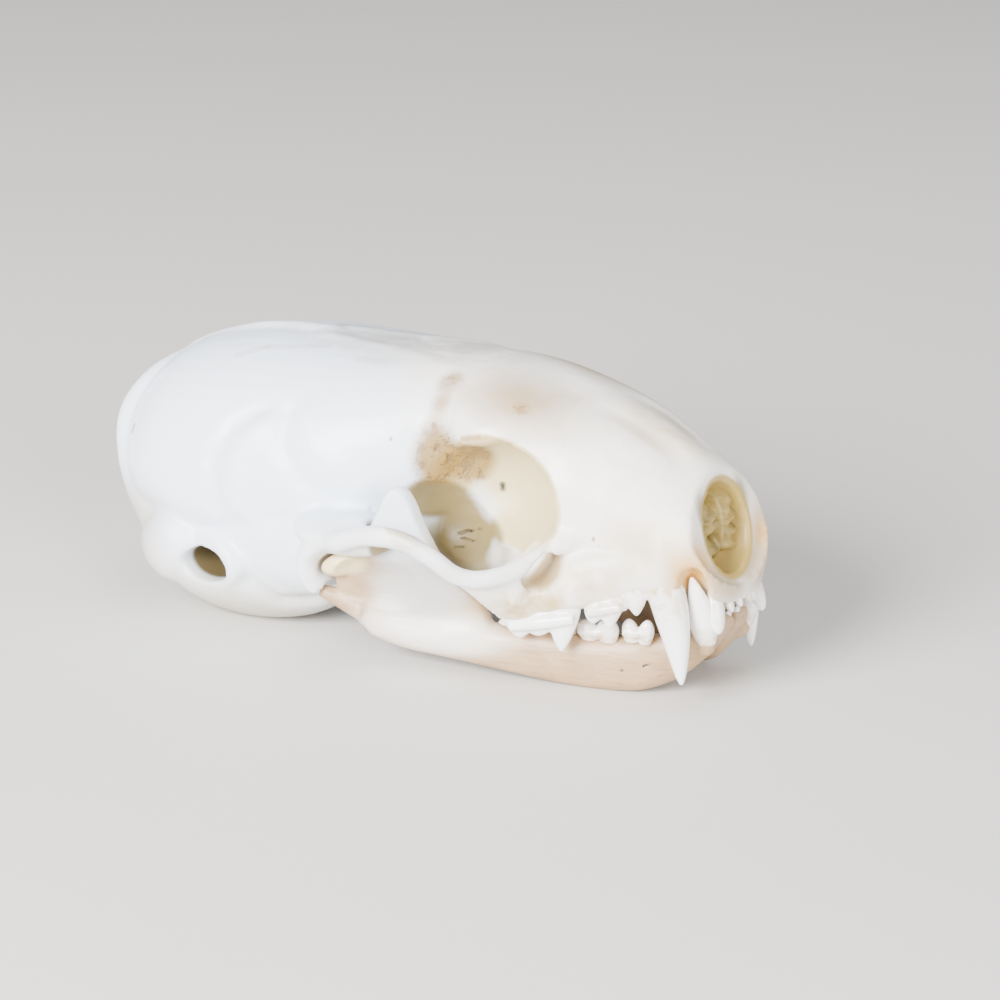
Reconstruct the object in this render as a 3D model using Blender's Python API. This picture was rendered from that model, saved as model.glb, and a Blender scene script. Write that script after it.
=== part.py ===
"""Weasel skull, life size: cranium, right and left lower jaw, with their teeth.

The skull is modelled in millimetres and written in metres at the end.
X runs forward to the snout, Y to the animal's left, Z up from the floor.
It rests closed, on the lower edges of both jaws and on both ear capsules.
"""

import math
from collections import namedtuple

import bmesh
import bpy
from mathutils import Matrix, Vector

# Scale and placing
METRES_PER_MM = 0.001
CENTRE_SHIFT = 0.849
FLOOR = 0.0
NODE_GAP = 0.3

# Fineness of the solids
RING_POINTS = 32
TOOTH_POINTS = 9
VOXEL = 0.3
CRANIUM_TRIANGLES = 6000
JAW_TRIANGLES = 1300
SMOOTH_ROUNDS = 3
SLIVER = 0.02

# Braincase and face, one section per station along X
Section = namedtuple("Section", "x half_width top bottom waist upper_power lower_power")

BRAINCASE = (
    Section(-21.8, 2.6, 11.2, 6.6, 8.8, 2.0, 2.0),
    Section(-21.0, 5.2, 13.1, 5.2, 8.6, 2.0, 2.0),
    Section(-19.4, 7.2, 14.6, 4.2, 8.2, 2.1, 2.0),
    Section(-17.0, 8.6, 15.8, 3.7, 8.0, 2.2, 2.0),
    Section(-13.0, 9.4, 16.8, 3.6, 8.4, 2.2, 2.0),
    Section(-9.0, 9.4, 17.2, 3.8, 9.0, 2.2, 2.0),
    Section(-5.0, 8.9, 17.35, 4.2, 10.0, 2.2, 2.0),
    Section(-2.0, 7.9, 17.55, 4.8, 11.0, 2.2, 1.9),
    Section(0.5, 6.8, 17.7, 5.6, 12.0, 2.2, 1.8),
    Section(2.5, 5.9, 17.75, 7.0, 12.8, 2.2, 1.8),
    Section(4.5, 4.6, 17.6, 9.0, 13.4, 2.2, 2.0),
)

FACE = (
    Section(-1.0, 4.0, 17.2, 6.2, 12.5, 2.2, 2.0),
    Section(3.0, 5.1, 17.8, 6.0, 13.2, 2.3, 2.2),
    Section(6.0, 5.8, 17.7, 5.8, 13.0, 2.3, 2.4),
    Section(9.0, 6.1, 17.2, 5.9, 12.0, 2.3, 2.4),
    Section(11.5, 6.3, 16.65, 6.1, 11.0, 2.2, 2.4),
    Section(13.5, 5.8, 16.05, 6.4, 10.4, 2.2, 2.4),
    Section(15.5, 5.3, 15.25, 6.8, 9.8, 2.1, 2.4),
    Section(17.2, 4.9, 14.4, 7.0, 9.4, 2.0, 2.4),
    Section(18.5, 4.5, 13.5, 7.0, 9.0, 2.0, 2.4),
    Section(19.5, 4.0, 12.6, 6.9, 8.8, 2.0, 2.4),
    Section(20.2, 3.4, 11.0, 6.8, 8.2, 2.0, 2.4),
    Section(20.7, 2.6, 9.0, 6.6, 7.6, 2.0, 2.2),
    Section(21.0, 1.5, 7.6, 6.6, 7.1, 2.0, 2.0),
)

# Tooth-bearing edge of the upper jaw
MAXILLA = (
    Section(6.9, 6.4, 6.2, 4.6, 5.4, 2.0, 3.6),
    Section(7.6, 7.2, 7.6, 4.0, 5.4, 2.0, 4.0),
    Section(8.8, 7.5, 8.8, 3.9, 5.6, 1.9, 5.0),
    Section(11.2, 7.3, 10.4, 4.6, 6.1, 1.7, 5.0),
    Section(13.2, 6.8, 11.4, 5.2, 6.8, 1.7, 5.0),
    Section(15.0, 6.0, 11.8, 5.8, 7.4, 1.8, 4.4),
    Section(16.6, 5.3, 12.0, 6.2, 7.9, 1.9, 3.6),
    Section(18.0, 5.1, 11.2, 6.4, 8.0, 2.0, 2.6),
    Section(19.3, 4.2, 10.0, 6.4, 7.7, 2.0, 2.6),
    Section(20.3, 3.2, 8.6, 6.3, 7.2, 2.0, 2.6),
    Section(20.9, 1.9, 7.4, 6.2, 6.8, 2.0, 2.2),
)

# Palatine and pterygoid walls behind the teeth
PTERYGOID = (
    Section(-3.5, 2.4, 8.0, 4.6, 6.2, 2.4, 2.4),
    Section(-1.0, 2.8, 9.5, 4.4, 6.6, 2.4, 2.8),
    Section(3.0, 3.1, 10.5, 4.5, 7.0, 2.4, 2.8),
    Section(7.5, 4.0, 10.0, 4.9, 7.4, 2.4, 2.8),
)

# Ear capsules: centre, radii and the turn of their long axis
BULLA_CENTRE = Vector((-10.6, -5.5, 3.2))
BULLA_RADII = Vector((6.7, 3.7, 3.3))
BULLA_TURN = math.radians(10.0)
MASTOID_CENTRE = Vector((-15.2, -7.5, 4.1))
MASTOID_RADII = Vector((2.8, 2.1, 2.6))
SQUAMOSAL_CENTRE = Vector((-7.8, -6.9, 5.4))
SQUAMOSAL_RADII = Vector((5.4, 2.4, 2.8))
EAR_TUBE = (Vector((-11.2, -6.5, 4.2)), Vector((-11.9, -9.4, 3.9)))
EAR_TUBE_RADIUS = 1.8
EAR_HOLE = (Vector((-12.4, -11.5, 3.5)), Vector((-11.7, -8.2, 3.8)))
EAR_HOLE_RADIUS = 1.05
EAR_WIDENING = 1.4

# Crest round the back of the skull, from the midline to the mastoid
CREST = (
    Vector((-20.0, 0.0, 13.9)),
    Vector((-21.1, -2.6, 12.9)),
    Vector((-21.8, -4.5, 10.8)),
    Vector((-21.1, -5.7, 8.4)),
    Vector((-19.7, -6.9, 6.6)),
    Vector((-17.9, -7.9, 5.0)),
    Vector((-16.2, -8.5, 3.9)),
)
CREST_HALF_WIDTH = 0.65
CONDYLE_CENTRE = Vector((-21.6, -2.5, 5.9))
CONDYLE_RADII = Vector((1.2, 1.5, 1.5))
FORAMEN_MAGNUM = (Vector((-23.2, 0.0, 8.0)), Vector((2.2, 2.4, 2.0)))

# Cheek arch: centre line, half thickness across and half depth
Strap = namedtuple("Strap", "x y z across deep")

CHEEK_ARCH = (
    Strap(12.5, -5.5, 9.8, 0.8, 0.8),
    Strap(11.7, -6.5, 9.2, 0.55, 0.65),
    Strap(11.0, -7.35, 8.55, 0.5, 0.6),
    Strap(10.3, -8.2, 7.95, 0.5, 0.58),
    Strap(9.4, -9.0, 7.5, 0.5, 0.58),
    Strap(8.3, -9.7, 7.25, 0.5, 0.58),
    Strap(7.2, -10.4, 7.6, 0.5, 0.58),
    Strap(6.1, -10.95, 8.5, 0.5, 0.6),
    Strap(4.0, -11.3, 9.25, 0.5, 0.65),
    Strap(1.6, -11.4, 9.3, 0.55, 0.65),
    Strap(-0.4, -11.1, 8.6, 0.65, 0.6),
    Strap(-1.8, -10.0, 8.1, 1.0, 0.6),
    Strap(-4.2, -7.6, 7.4, 1.3, 0.8),
)

# Socket of the jaw joint, a plate bent behind the joint from above
SOCKET = (
    Strap(-0.6, -9.3, 8.1, 1.9, 0.4),
    Strap(-2.0, -9.3, 7.8, 1.9, 0.45),
    Strap(-3.1, -9.1, 6.5, 1.9, 0.4),
    Strap(-3.1, -8.9, 4.7, 1.5, 0.35),
)

# Openings of the cranium
ORBIT_CENTRE = Vector((7.0, -8.1, 11.4))
ORBIT_RADII = Vector((5.0, 5.2, 3.6))
BROW_CENTRE = Vector((4.3, -4.9, 15.3))
BROW_RADII = Vector((1.7, 1.2, 0.7))
CANINE_NOTCH_CENTRE = Vector((19.6, -4.0, 6.8))
CANINE_NOTCH_RADII = Vector((0.85, 1.3, 2.0))
CANINE_BULGE_CENTRE = Vector((17.5, -3.9, 8.6))
CANINE_BULGE_RADII = Vector((1.5, 1.3, 2.4))
NOSE_CENTRE = Vector((20.4, 0.0, 10.1))
NOSE_RADII = Vector((2.9, 2.9, 2.75))
NOSE_TURN = math.radians(-14.0)
CHEEK_HOLE = (Vector((13.2, -8.6, 7.4)), Vector((8.9, -5.3, 8.0)))
CHEEK_HOLE_RADII = (0.5, 1.2)
CHEEK_HOLE_TILT = math.radians(27.0)
PALATE = (
    Section(4.6, 3.4, 5.4, 1.5, 3.0, 4.0, 3.0),
    Section(8.0, 5.3, 5.6, 1.5, 3.0, 4.0, 3.0),
    Section(11.0, 5.4, 6.1, 1.5, 3.0, 4.0, 3.0),
    Section(13.5, 4.9, 6.8, 1.5, 3.0, 4.0, 3.0),
    Section(16.0, 3.9, 7.4, 1.5, 3.0, 4.0, 3.0),
    Section(18.0, 2.9, 6.9, 1.5, 3.0, 3.0, 3.0),
    Section(19.4, 1.9, 6.6, 1.5, 3.0, 3.0, 3.0),
)
CHOANA_CENTRE = Vector((1.0, 0.0, 4.9))
CHOANA_RADII = Vector((5.5, 1.5, 2.6))

# Lower jaw, right side; the left one is its mirror image
JawSection = namedtuple("JawSection", "x y half_width top bottom power")

JAW_BODY = (
    JawSection(20.1, -0.8, 0.6, 4.5, 3.9, 2.0),
    JawSection(19.7, -1.2, 1.1, 4.6, 3.3, 2.2),
    JawSection(19.1, -1.5, 1.35, 4.5, 2.4, 2.2),
    JawSection(18.3, -1.85, 1.3, 4.2, 1.4, 2.3),
    JawSection(17.3, -2.35, 1.2, 3.8, 0.65, 2.3),
    JawSection(15.8, -3.2, 1.15, 3.6, 0.1, 2.3),
    JawSection(13.6, -4.0, 1.05, 3.3, -0.05, 2.3),
    JawSection(11.0, -4.9, 1.05, 3.3, 0.1, 2.3),
    JawSection(8.0, -5.9, 1.0, 3.2, 0.45, 2.3),
    JawSection(5.0, -6.8, 0.9, 3.8, 0.75, 2.3),
    JawSection(2.0, -7.6, 0.8, 4.0, 1.0, 2.3),
    JawSection(0.0, -8.2, 0.6, 3.8, 1.5, 2.0),
)

RAMUS_OUTLINE = (
    (7.4, 3.0),
    (7.0, 4.6),
    (6.1, 6.0),
    (5.2, 7.2),
    (4.1, 8.4),
    (3.1, 9.8),
    (2.4, 10.9),
    (1.75, 11.4),
    (1.1, 10.9),
    (0.6, 9.7),
    (-0.1, 8.2),
    (-1.2, 6.9),
    (-1.5, 5.2),
    (-1.2, 4.2),
    (-0.6, 2.4),
    (0.8, 1.45),
    (5.0, 1.5),
)
RAMUS_HALF_THICKNESS = 0.62
RAMUS_FRONT_Y = -6.1
RAMUS_REAR_Y = -8.4
RAMUS_FRONT_X = 8.0
RAMUS_REAR_X = -0.5
RAMUS_LEAN = 0.09
RAMUS_LEAN_FROM = 5.0
JOINT_ENDS = (Vector((-1.5, -10.0, 6.1)), Vector((-1.5, -6.8, 5.9)))
JOINT_RADII = (0.7, 0.8)
ANGLE_ROD = (Vector((-0.4, -8.5, 3.2)), Vector((-3.1, -9.3, 4.1)))
ANGLE_ROD_RADII = (0.8, 0.45)
FOSSA_CENTRE = Vector((2.6, -10.9, 5.0))
FOSSA_RADII = Vector((4.3, 3.0, 3.0))
SYMPHYSIS_HALF_GAP = 0.15

# Crown profiles: how wide a tooth is at each level from root, 0, to tip, 1
FANG = ((0.0, 0.65), (0.28, 1.0), (0.5, 0.86), (0.7, 0.64), (0.88, 0.38), (1.0, 0.12))
BLADE = ((0.0, 0.75), (0.45, 1.0), (0.65, 0.96), (0.82, 0.78), (0.94, 0.45), (1.0, 0.2))
PEG = ((0.0, 0.7), (0.4, 1.0), (0.7, 0.92), (0.88, 0.7), (1.0, 0.3))
CANINE_BEND = 0.3

# Teeth: place of the root's centre, tip, and radii along and across the row
Tooth = namedtuple("Tooth", "name root tip along across row_angle profile bend", defaults=(0.0,))

UPPER_TEETH = (
    Tooth("incisor_1", (20.5, -0.5, 7.2), (20.85, -0.5, 5.65), 0.26, 0.34, 80.0, PEG),
    Tooth("incisor_2", (20.35, -1.25, 7.2), (20.7, -1.25, 5.5), 0.3, 0.38, 65.0, PEG),
    Tooth("incisor_3", (20.2, -2.15, 7.8), (20.6, -2.5, 4.5), 0.5, 0.5, 55.0, PEG),
    Tooth("canine", (17.0, -4.2, 9.4), (19.05, -4.1, 1.5), 1.25, 0.95, 8.0, FANG, CANINE_BEND),
    Tooth("premolar_2", (15.8, -5.0, 7.8), (16.1, -5.05, 5.5), 0.95, 0.5, 12.0, BLADE),
    Tooth("premolar_3", (14.3, -5.5, 7.4), (14.45, -5.6, 4.55), 1.4, 0.6, 16.0, BLADE),
    Tooth("premolar_4_front", (12.2, -6.2, 6.8), (12.25, -6.35, 2.7), 1.15, 0.62, 16.0, FANG),
    Tooth("premolar_4_rear", (10.6, -6.65, 6.4), (10.4, -6.85, 3.2), 2.3, 0.55, 13.0, BLADE),
    Tooth("molar_1", (8.3, -6.2, 5.8), (8.35, -6.5, 3.3), 0.75, 1.2, 0.0, BLADE),
)

# The plate that ties the cheek arch to the jaw edge is shaped like a wide tooth
ROOT_PLATE = ((0.0, 1.0), (0.3, 0.9), (0.6, 0.85), (1.0, 0.8))
CHEEK_ROOT = Tooth("cheek_root", (8.3, -9.3, 7.5), (10.2, -6.9, 4.4), 2.3, 0.5, 28.0, ROOT_PLATE)

LOWER_TEETH = (
    Tooth("incisor_1", (19.7, -0.5, 3.8), (20.1, -0.5, 5.2), 0.28, 0.26, 80.0, PEG),
    Tooth("incisor_2", (19.5, -1.15, 3.8), (19.9, -1.15, 5.3), 0.3, 0.28, 70.0, PEG),
    Tooth("canine", (19.35, -2.2, 2.6), (19.25, -3.3, 7.9), 0.85, 0.62, 20.0, FANG),
    Tooth("premolar_2", (17.5, -3.0, 2.8), (17.6, -3.05, 4.7), 0.5, 0.42, 15.0, BLADE),
    Tooth("premolar_3", (15.9, -3.75, 2.6), (16.1, -3.95, 5.5), 0.95, 0.5, 14.0, BLADE),
    Tooth("premolar_4", (13.6, -4.35, 2.4), (13.7, -4.5, 4.75), 1.35, 0.6, 16.0, BLADE),
    Tooth("molar_1", (10.6, -4.7, 2.4), (10.9, -4.6, 4.8), 1.7, 0.5, 16.0, BLADE),
    Tooth("molar_2", (7.7, -5.5, 2.6), (7.7, -5.4, 3.5), 0.5, 0.45, 16.0, PEG),
)

# Colours of bone and of the lower jaw's slightly warmer bone
BONE_COLOUR = (0.86, 0.84, 0.79, 1.0)
JAW_COLOUR = (0.85, 0.79, 0.73, 1.0)
BONE_ROUGHNESS = 0.42


def clear_scene():
    """Remove every object of the open scene."""
    for item in list(bpy.data.objects):
        bpy.data.objects.remove(item, do_unlink=True)


def bone_material(name, colour):
    """Return a plain bone finish of the given colour."""
    material = bpy.data.materials.new(name)
    material.use_nodes = True
    shader = material.node_tree.nodes["Principled BSDF"]
    shader.inputs["Base Color"].default_value = colour
    shader.inputs["Roughness"].default_value = BONE_ROUGHNESS
    shader.inputs["Metallic"].default_value = 0.0
    return material


def smooth_values(rows, count):
    """Read rows of numbers as smooth curves at evenly spread places.

    The curve runs through every row; its slopes come from the rows beside.
    """
    last = len(rows) - 1
    values = []
    for step in range(count):
        place = last * step / (count - 1)
        index = min(int(place), last - 1)
        part = place - index
        before = rows[max(index - 1, 0)]
        start = rows[index]
        end = rows[index + 1]
        after = rows[min(index + 2, last)]
        row = []
        for a, b, c, d in zip(before, start, end, after):
            slope_in = (c - a) / 2
            slope_out = (d - b) / 2
            cube = 2 * (b - c) + slope_in + slope_out
            square = 3 * (c - b) - 2 * slope_in - slope_out
            row.append(((cube * part + square) * part + slope_in) * part + b)
        values.append(row)
    return values


def power_cosine(angle, power):
    """Return a cosine squared off by a power, for boxy ovals."""
    value = math.cos(angle)
    return math.copysign(abs(value) ** (2.0 / power), value)


def loft(rings):
    """Join rings of points into one closed surface with flat ends."""
    surface = bmesh.new()
    loops = []
    for points in rings:
        circle = bmesh.ops.create_circle(surface, segments=len(points), radius=1.0)
        for vertex, point in zip(circle["verts"], points):
            vertex.co = point
        edges = {edge for vertex in circle["verts"] for edge in vertex.link_edges}
        loops.append(list(edges))
    for first, second in zip(loops, loops[1:]):
        bmesh.ops.bridge_loops(surface, edges=first + second)
    bmesh.ops.holes_fill(surface, edges=loops[0] + loops[-1], sides=0)
    bmesh.ops.recalc_face_normals(surface, faces=surface.faces)
    return surface


def add_object(surface, name):
    """Put a bmesh into the scene as an object."""
    mesh = bpy.data.meshes.new(name)
    surface.to_mesh(mesh)
    surface.free()
    item = bpy.data.objects.new(name, mesh)
    bpy.context.scene.collection.objects.link(item)
    return item


def section_loft(name, sections, steps):
    """Loft oval sections that stand across X."""
    rings = []
    for x, half_width, top, bottom, waist, upper, lower in smooth_values(sections, steps):
        points = []
        for index in range(RING_POINTS):
            angle = 2 * math.pi * index / RING_POINTS
            rising = math.sin(angle) > 0
            power = upper if rising else lower
            height = (top - waist) if rising else (waist - bottom)
            y = half_width * power_cosine(angle, power)
            z = waist + height * power_cosine(angle - math.pi / 2, power)
            points.append(Vector((x, y, z)))
        rings.append(points)
    return add_object(loft(rings), name)


def jaw_loft(name, sections, steps):
    """Loft the body of the lower jaw, whose middle line bends outward."""
    rings = []
    for x, y, half_width, top, bottom, power in smooth_values(sections, steps):
        points = []
        for index in range(RING_POINTS // 2):
            angle = 4 * math.pi * index / RING_POINTS
            across = half_width * power_cosine(angle, power)
            up = (top - bottom) / 2 * power_cosine(angle - math.pi / 2, power)
            points.append(Vector((x, y + across, (top + bottom) / 2 + up)))
        rings.append(points)
    return add_object(loft(rings), name)


def strap_loft(name, straps, steps, side=1, count=12):
    """Sweep an oval along a bent centre line.

    The oval's depth stands as near to Z as the line allows.
    """
    rows = smooth_values(straps, steps)
    centres = [Vector((row[0], row[1] * side, row[2])) for row in rows]
    rings = []
    for index, row in enumerate(rows):
        ahead = centres[min(index + 1, steps - 1)]
        behind = centres[max(index - 1, 0)]
        along = (ahead - behind).normalized()
        across = along.cross(Vector((0, 0, 1))).normalized()
        upward = across.cross(along)
        points = []
        for corner in range(count):
            angle = 2 * math.pi * corner / count
            offset = across * row[3] * math.cos(angle) + upward * row[4] * math.sin(angle)
            points.append(centres[index] + offset)
        rings.append(points)
    return add_object(loft(rings), name)


def plate_loft(name, straps, steps, side=1, count=12):
    """Sweep an oval whose broad way lies along Y."""
    rows = smooth_values(straps, steps)
    centres = [Vector((row[0], row[1] * side, row[2])) for row in rows]
    rings = []
    for index, row in enumerate(rows):
        ahead = centres[min(index + 1, steps - 1)]
        behind = centres[max(index - 1, 0)]
        along = (ahead - behind).normalized()
        upward = along.cross(Vector((0, 1, 0))).normalized()
        points = []
        for corner in range(count):
            angle = 2 * math.pi * corner / count
            offset = Vector((0, 1, 0)) * row[3] * math.cos(angle)
            points.append(centres[index] + offset + upward * row[4] * math.sin(angle))
        rings.append(points)
    return add_object(loft(rings), name)


def ellipsoid(name, centre, radii, turn=None, fineness=20):
    """Return a stretched ball, turned by a matrix about its centre."""
    surface = bmesh.new()
    bmesh.ops.create_uvsphere(surface, u_segments=fineness, v_segments=fineness // 2, radius=1.0)
    bmesh.ops.scale(surface, vec=radii, verts=surface.verts)
    if turn is not None:
        bmesh.ops.rotate(surface, cent=(0, 0, 0), matrix=turn, verts=surface.verts)
    bmesh.ops.translate(surface, vec=centre, verts=surface.verts)
    return add_object(surface, name)


def rod(name, ends, radii, flatten=1.0, tilt=0.0, count=16):
    """Return a straight round bar between two points, flattened if asked."""
    start, end = ends
    along = end - start
    surface = bmesh.new()
    bmesh.ops.create_cone(
        surface,
        cap_ends=True,
        segments=count,
        radius1=radii[0],
        radius2=radii[1],
        depth=along.length,
    )
    bmesh.ops.scale(surface, vec=(flatten, 1.0, 1.0), verts=surface.verts)
    turn = along.to_track_quat("Z", "Y").to_matrix() @ Matrix.Rotation(tilt, 3, "Z")
    bmesh.ops.rotate(surface, cent=(0, 0, 0), matrix=turn, verts=surface.verts)
    bmesh.ops.translate(surface, vec=(start + end) / 2, verts=surface.verts)
    return add_object(surface, name)


def tooth_loft(tooth, side=1):
    """Loft one tooth from its root to its tip, curved like the real one."""
    root = Vector(tooth.root)
    tip = Vector(tooth.tip)
    row_turn = math.radians(tooth.row_angle)
    along_row = Vector((math.cos(row_turn), math.sin(row_turn), 0))
    across_row = Vector((-math.sin(row_turn), math.cos(row_turn), 0))
    rings = []
    for level, size in tooth.profile:
        centre = root.lerp(tip, level) + along_row * tooth.bend * math.sin(math.pi * level)
        points = []
        for index in range(TOOTH_POINTS):
            angle = 2 * math.pi * index / TOOTH_POINTS
            offset = along_row * tooth.along * math.cos(angle)
            offset += across_row * tooth.across * math.sin(angle)
            point = centre + offset * size
            points.append(Vector((point.x, point.y * side, point.z)))
        rings.append(points)
    return add_object(loft(rings), "tooth_" + tooth.name)


def apply_modifier(item, modifier):
    """Write a modifier's result into the object's mesh."""
    bpy.context.view_layer.update()
    graph = bpy.context.evaluated_depsgraph_get()
    result = bpy.data.meshes.new_from_object(item.evaluated_get(graph))
    item.modifiers.remove(modifier)
    old = item.data
    item.data = result
    bpy.data.meshes.remove(old)


def combine(item, others, operation):
    """Apply one Boolean of a group of closed pieces and remove the pieces."""
    group = bpy.data.collections.new("group")
    bpy.context.scene.collection.children.link(group)
    for other in others:
        group.objects.link(other)
    boolean = item.modifiers.new("combine", "BOOLEAN")
    boolean.operation = operation
    boolean.operand_type = "COLLECTION"
    boolean.collection = group
    boolean.solver = "EXACT"
    boolean.use_self = operation == "UNION"
    apply_modifier(item, boolean)
    for other in others:
        bpy.data.objects.remove(other, do_unlink=True)
    bpy.data.collections.remove(group)


def soften(item, triangles):
    """Blend the joins of a fused piece and bring it to a number of triangles."""
    remesh = item.modifiers.new("even", "REMESH")
    remesh.mode = "VOXEL"
    remesh.voxel_size = VOXEL
    remesh.adaptivity = 0.0
    apply_modifier(item, remesh)
    smooth = item.modifiers.new("smooth", "SMOOTH")
    smooth.factor = 0.5
    smooth.iterations = SMOOTH_ROUNDS
    apply_modifier(item, smooth)
    reduce = item.modifiers.new("reduce", "DECIMATE")
    reduce.ratio = triangles / (2 * len(item.data.polygons))
    reduce.use_collapse_triangulate = True
    apply_modifier(item, reduce)


def keep_largest(item):
    """Keep the largest closed surface of a mesh."""
    surface = bmesh.new()
    surface.from_mesh(item.data)
    surface.verts.ensure_lookup_table()
    unseen = set(surface.verts)
    groups = []
    while unseen:
        seed = unseen.pop()
        group = {seed}
        waiting = [seed]
        while waiting:
            vertex = waiting.pop()
            for edge in vertex.link_edges:
                other = edge.other_vert(vertex)
                if other in unseen:
                    unseen.remove(other)
                    group.add(other)
                    waiting.append(other)
        groups.append(group)
    groups.sort(key=len)
    for group in groups[:-1]:
        bmesh.ops.delete(surface, geom=list(group), context="VERTS")
    surface.to_mesh(item.data)
    surface.free()


def clearance(item):
    """Return a copy of a piece, swollen by the gap kept between bones."""
    copy = bpy.data.objects.new("clearance", item.data.copy())
    bpy.context.scene.collection.objects.link(copy)
    swell = copy.modifiers.new("swell", "DISPLACE")
    swell.strength = NODE_GAP
    swell.mid_level = 0.0
    apply_modifier(copy, swell)
    even = copy.modifiers.new("even", "REMESH")
    even.mode = "VOXEL"
    even.voxel_size = VOXEL
    apply_modifier(copy, even)
    return copy


def clip(item, point, normal):
    """Cut off all that lies on the normal's side of a plane and close the cut."""
    surface = bmesh.new()
    surface.from_mesh(item.data)
    everything = surface.verts[:] + surface.edges[:] + surface.faces[:]
    cut = bmesh.ops.bisect_plane(
        surface, geom=everything, plane_co=point, plane_no=normal, clear_outer=True
    )
    edges = [part for part in cut["geom_cut"] if isinstance(part, bmesh.types.BMEdge)]
    caps = bmesh.ops.holes_fill(surface, edges=edges, sides=0)
    bmesh.ops.triangulate(surface, faces=caps["faces"])
    bmesh.ops.recalc_face_normals(surface, faces=surface.faces)
    surface.to_mesh(item.data)
    surface.free()


def close_slivers(item):
    """Fold away edges too short to matter, which a Boolean leaves behind."""
    surface = bmesh.new()
    surface.from_mesh(item.data)
    bmesh.ops.triangulate(surface, faces=surface.faces)
    bmesh.ops.dissolve_degenerate(surface, dist=SLIVER, edges=surface.edges)
    bmesh.ops.triangulate(surface, faces=surface.faces)
    surface.to_mesh(item.data)
    surface.free()


def finish(item, name, material):
    """Name, dress and shade a node and bring it to metres and to its place."""
    item.name = name
    item.data.name = name
    place = Matrix.Scale(METRES_PER_MM, 4) @ Matrix.Translation((CENTRE_SHIFT, 0, 0))
    item.data.transform(place)
    item.data.materials.clear()
    item.data.materials.append(material)
    item.data.shade_smooth()
    return item


def build_cranium(jaws):
    """Build the cranium: braincase, face, cheek arches, ear capsules and teeth.

    It is cut clear of the jaws, which close against it.
    """
    braincase = section_loft("braincase", BRAINCASE, 34)
    pieces = [
        section_loft("face", FACE, 34),
        section_loft("maxilla", MAXILLA, 24),
        section_loft("pterygoid", PTERYGOID, 12),
    ]
    for side in (1, -1):
        flip = Matrix.Scale(side, 3, (0, 1, 0))
        bulla_turn = Matrix.Rotation(side * BULLA_TURN, 3, "Z")
        pieces.append(ellipsoid("bulla", flip @ BULLA_CENTRE, BULLA_RADII, bulla_turn))
        pieces.append(ellipsoid("mastoid", flip @ MASTOID_CENTRE, MASTOID_RADII))
        pieces.append(
            rod("ear_tube", [flip @ end for end in EAR_TUBE], (EAR_TUBE_RADIUS,) * 2, EAR_WIDENING)
        )
        pieces.append(ellipsoid("squamosal", flip @ SQUAMOSAL_CENTRE, SQUAMOSAL_RADII))
        pieces.append(ellipsoid("brow", flip @ BROW_CENTRE, BROW_RADII))
        pieces.append(ellipsoid("canine_bulge", flip @ CANINE_BULGE_CENTRE, CANINE_BULGE_RADII))
        pieces.append(ellipsoid("condyle", flip @ CONDYLE_CENTRE, CONDYLE_RADII))
        crest = [Strap(p.x, p.y, p.z, CREST_HALF_WIDTH, CREST_HALF_WIDTH) for p in CREST]
        pieces.append(strap_loft("crest", crest, 22, side))
        pieces.append(strap_loft("cheek_arch", CHEEK_ARCH, 36, side))
        pieces.append(tooth_loft(CHEEK_ROOT, side))
        pieces.append(plate_loft("socket", SOCKET, 14, side))
    combine(braincase, pieces, "UNION")

    cutters = [
        ellipsoid("nose_opening", NOSE_CENTRE, NOSE_RADII, Matrix.Rotation(NOSE_TURN, 3, "Y")),
        section_loft("palate_hollow", PALATE, 16),
        ellipsoid("choana", CHOANA_CENTRE, CHOANA_RADII),
        ellipsoid("foramen_magnum", *FORAMEN_MAGNUM),
    ]
    for side in (1, -1):
        flip = Matrix.Scale(side, 3, (0, 1, 0))
        cutters.append(ellipsoid("orbit", flip @ ORBIT_CENTRE, ORBIT_RADII, fineness=28))
        cutters.append(
            rod("ear_hole", [flip @ end for end in EAR_HOLE], (EAR_HOLE_RADIUS,) * 2, EAR_WIDENING)
        )
        cutters.append(ellipsoid("canine_notch", flip @ CANINE_NOTCH_CENTRE, CANINE_NOTCH_RADII))
        narrow, tall = CHEEK_HOLE_RADII
        cutters.append(
            rod(
                "cheek_hole",
                [flip @ end for end in CHEEK_HOLE],
                (tall, tall),
                narrow / tall,
                side * CHEEK_HOLE_TILT,
            )
        )
    cutters.extend(clearance(jaw) for jaw in jaws)
    combine(braincase, cutters, "DIFFERENCE")
    soften(braincase, CRANIUM_TRIANGLES)
    keep_largest(braincase)
    teeth = [tooth_loft(tooth, side) for tooth in UPPER_TEETH for side in (1, -1)]
    combine(braincase, teeth, "UNION")
    keep_largest(braincase)
    clip(braincase, (0, 0, FLOOR), (0, 0, -1))
    close_slivers(braincase)
    return braincase


def ramus_y(x, z):
    """Return how far out the middle of the jaw's rear plate lies."""
    slope = (RAMUS_REAR_Y - RAMUS_FRONT_Y) / (RAMUS_REAR_X - RAMUS_FRONT_X)
    lean = RAMUS_LEAN * max(z - RAMUS_LEAN_FROM, 0.0)
    return RAMUS_FRONT_Y + slope * (x - RAMUS_FRONT_X) - lean


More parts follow.
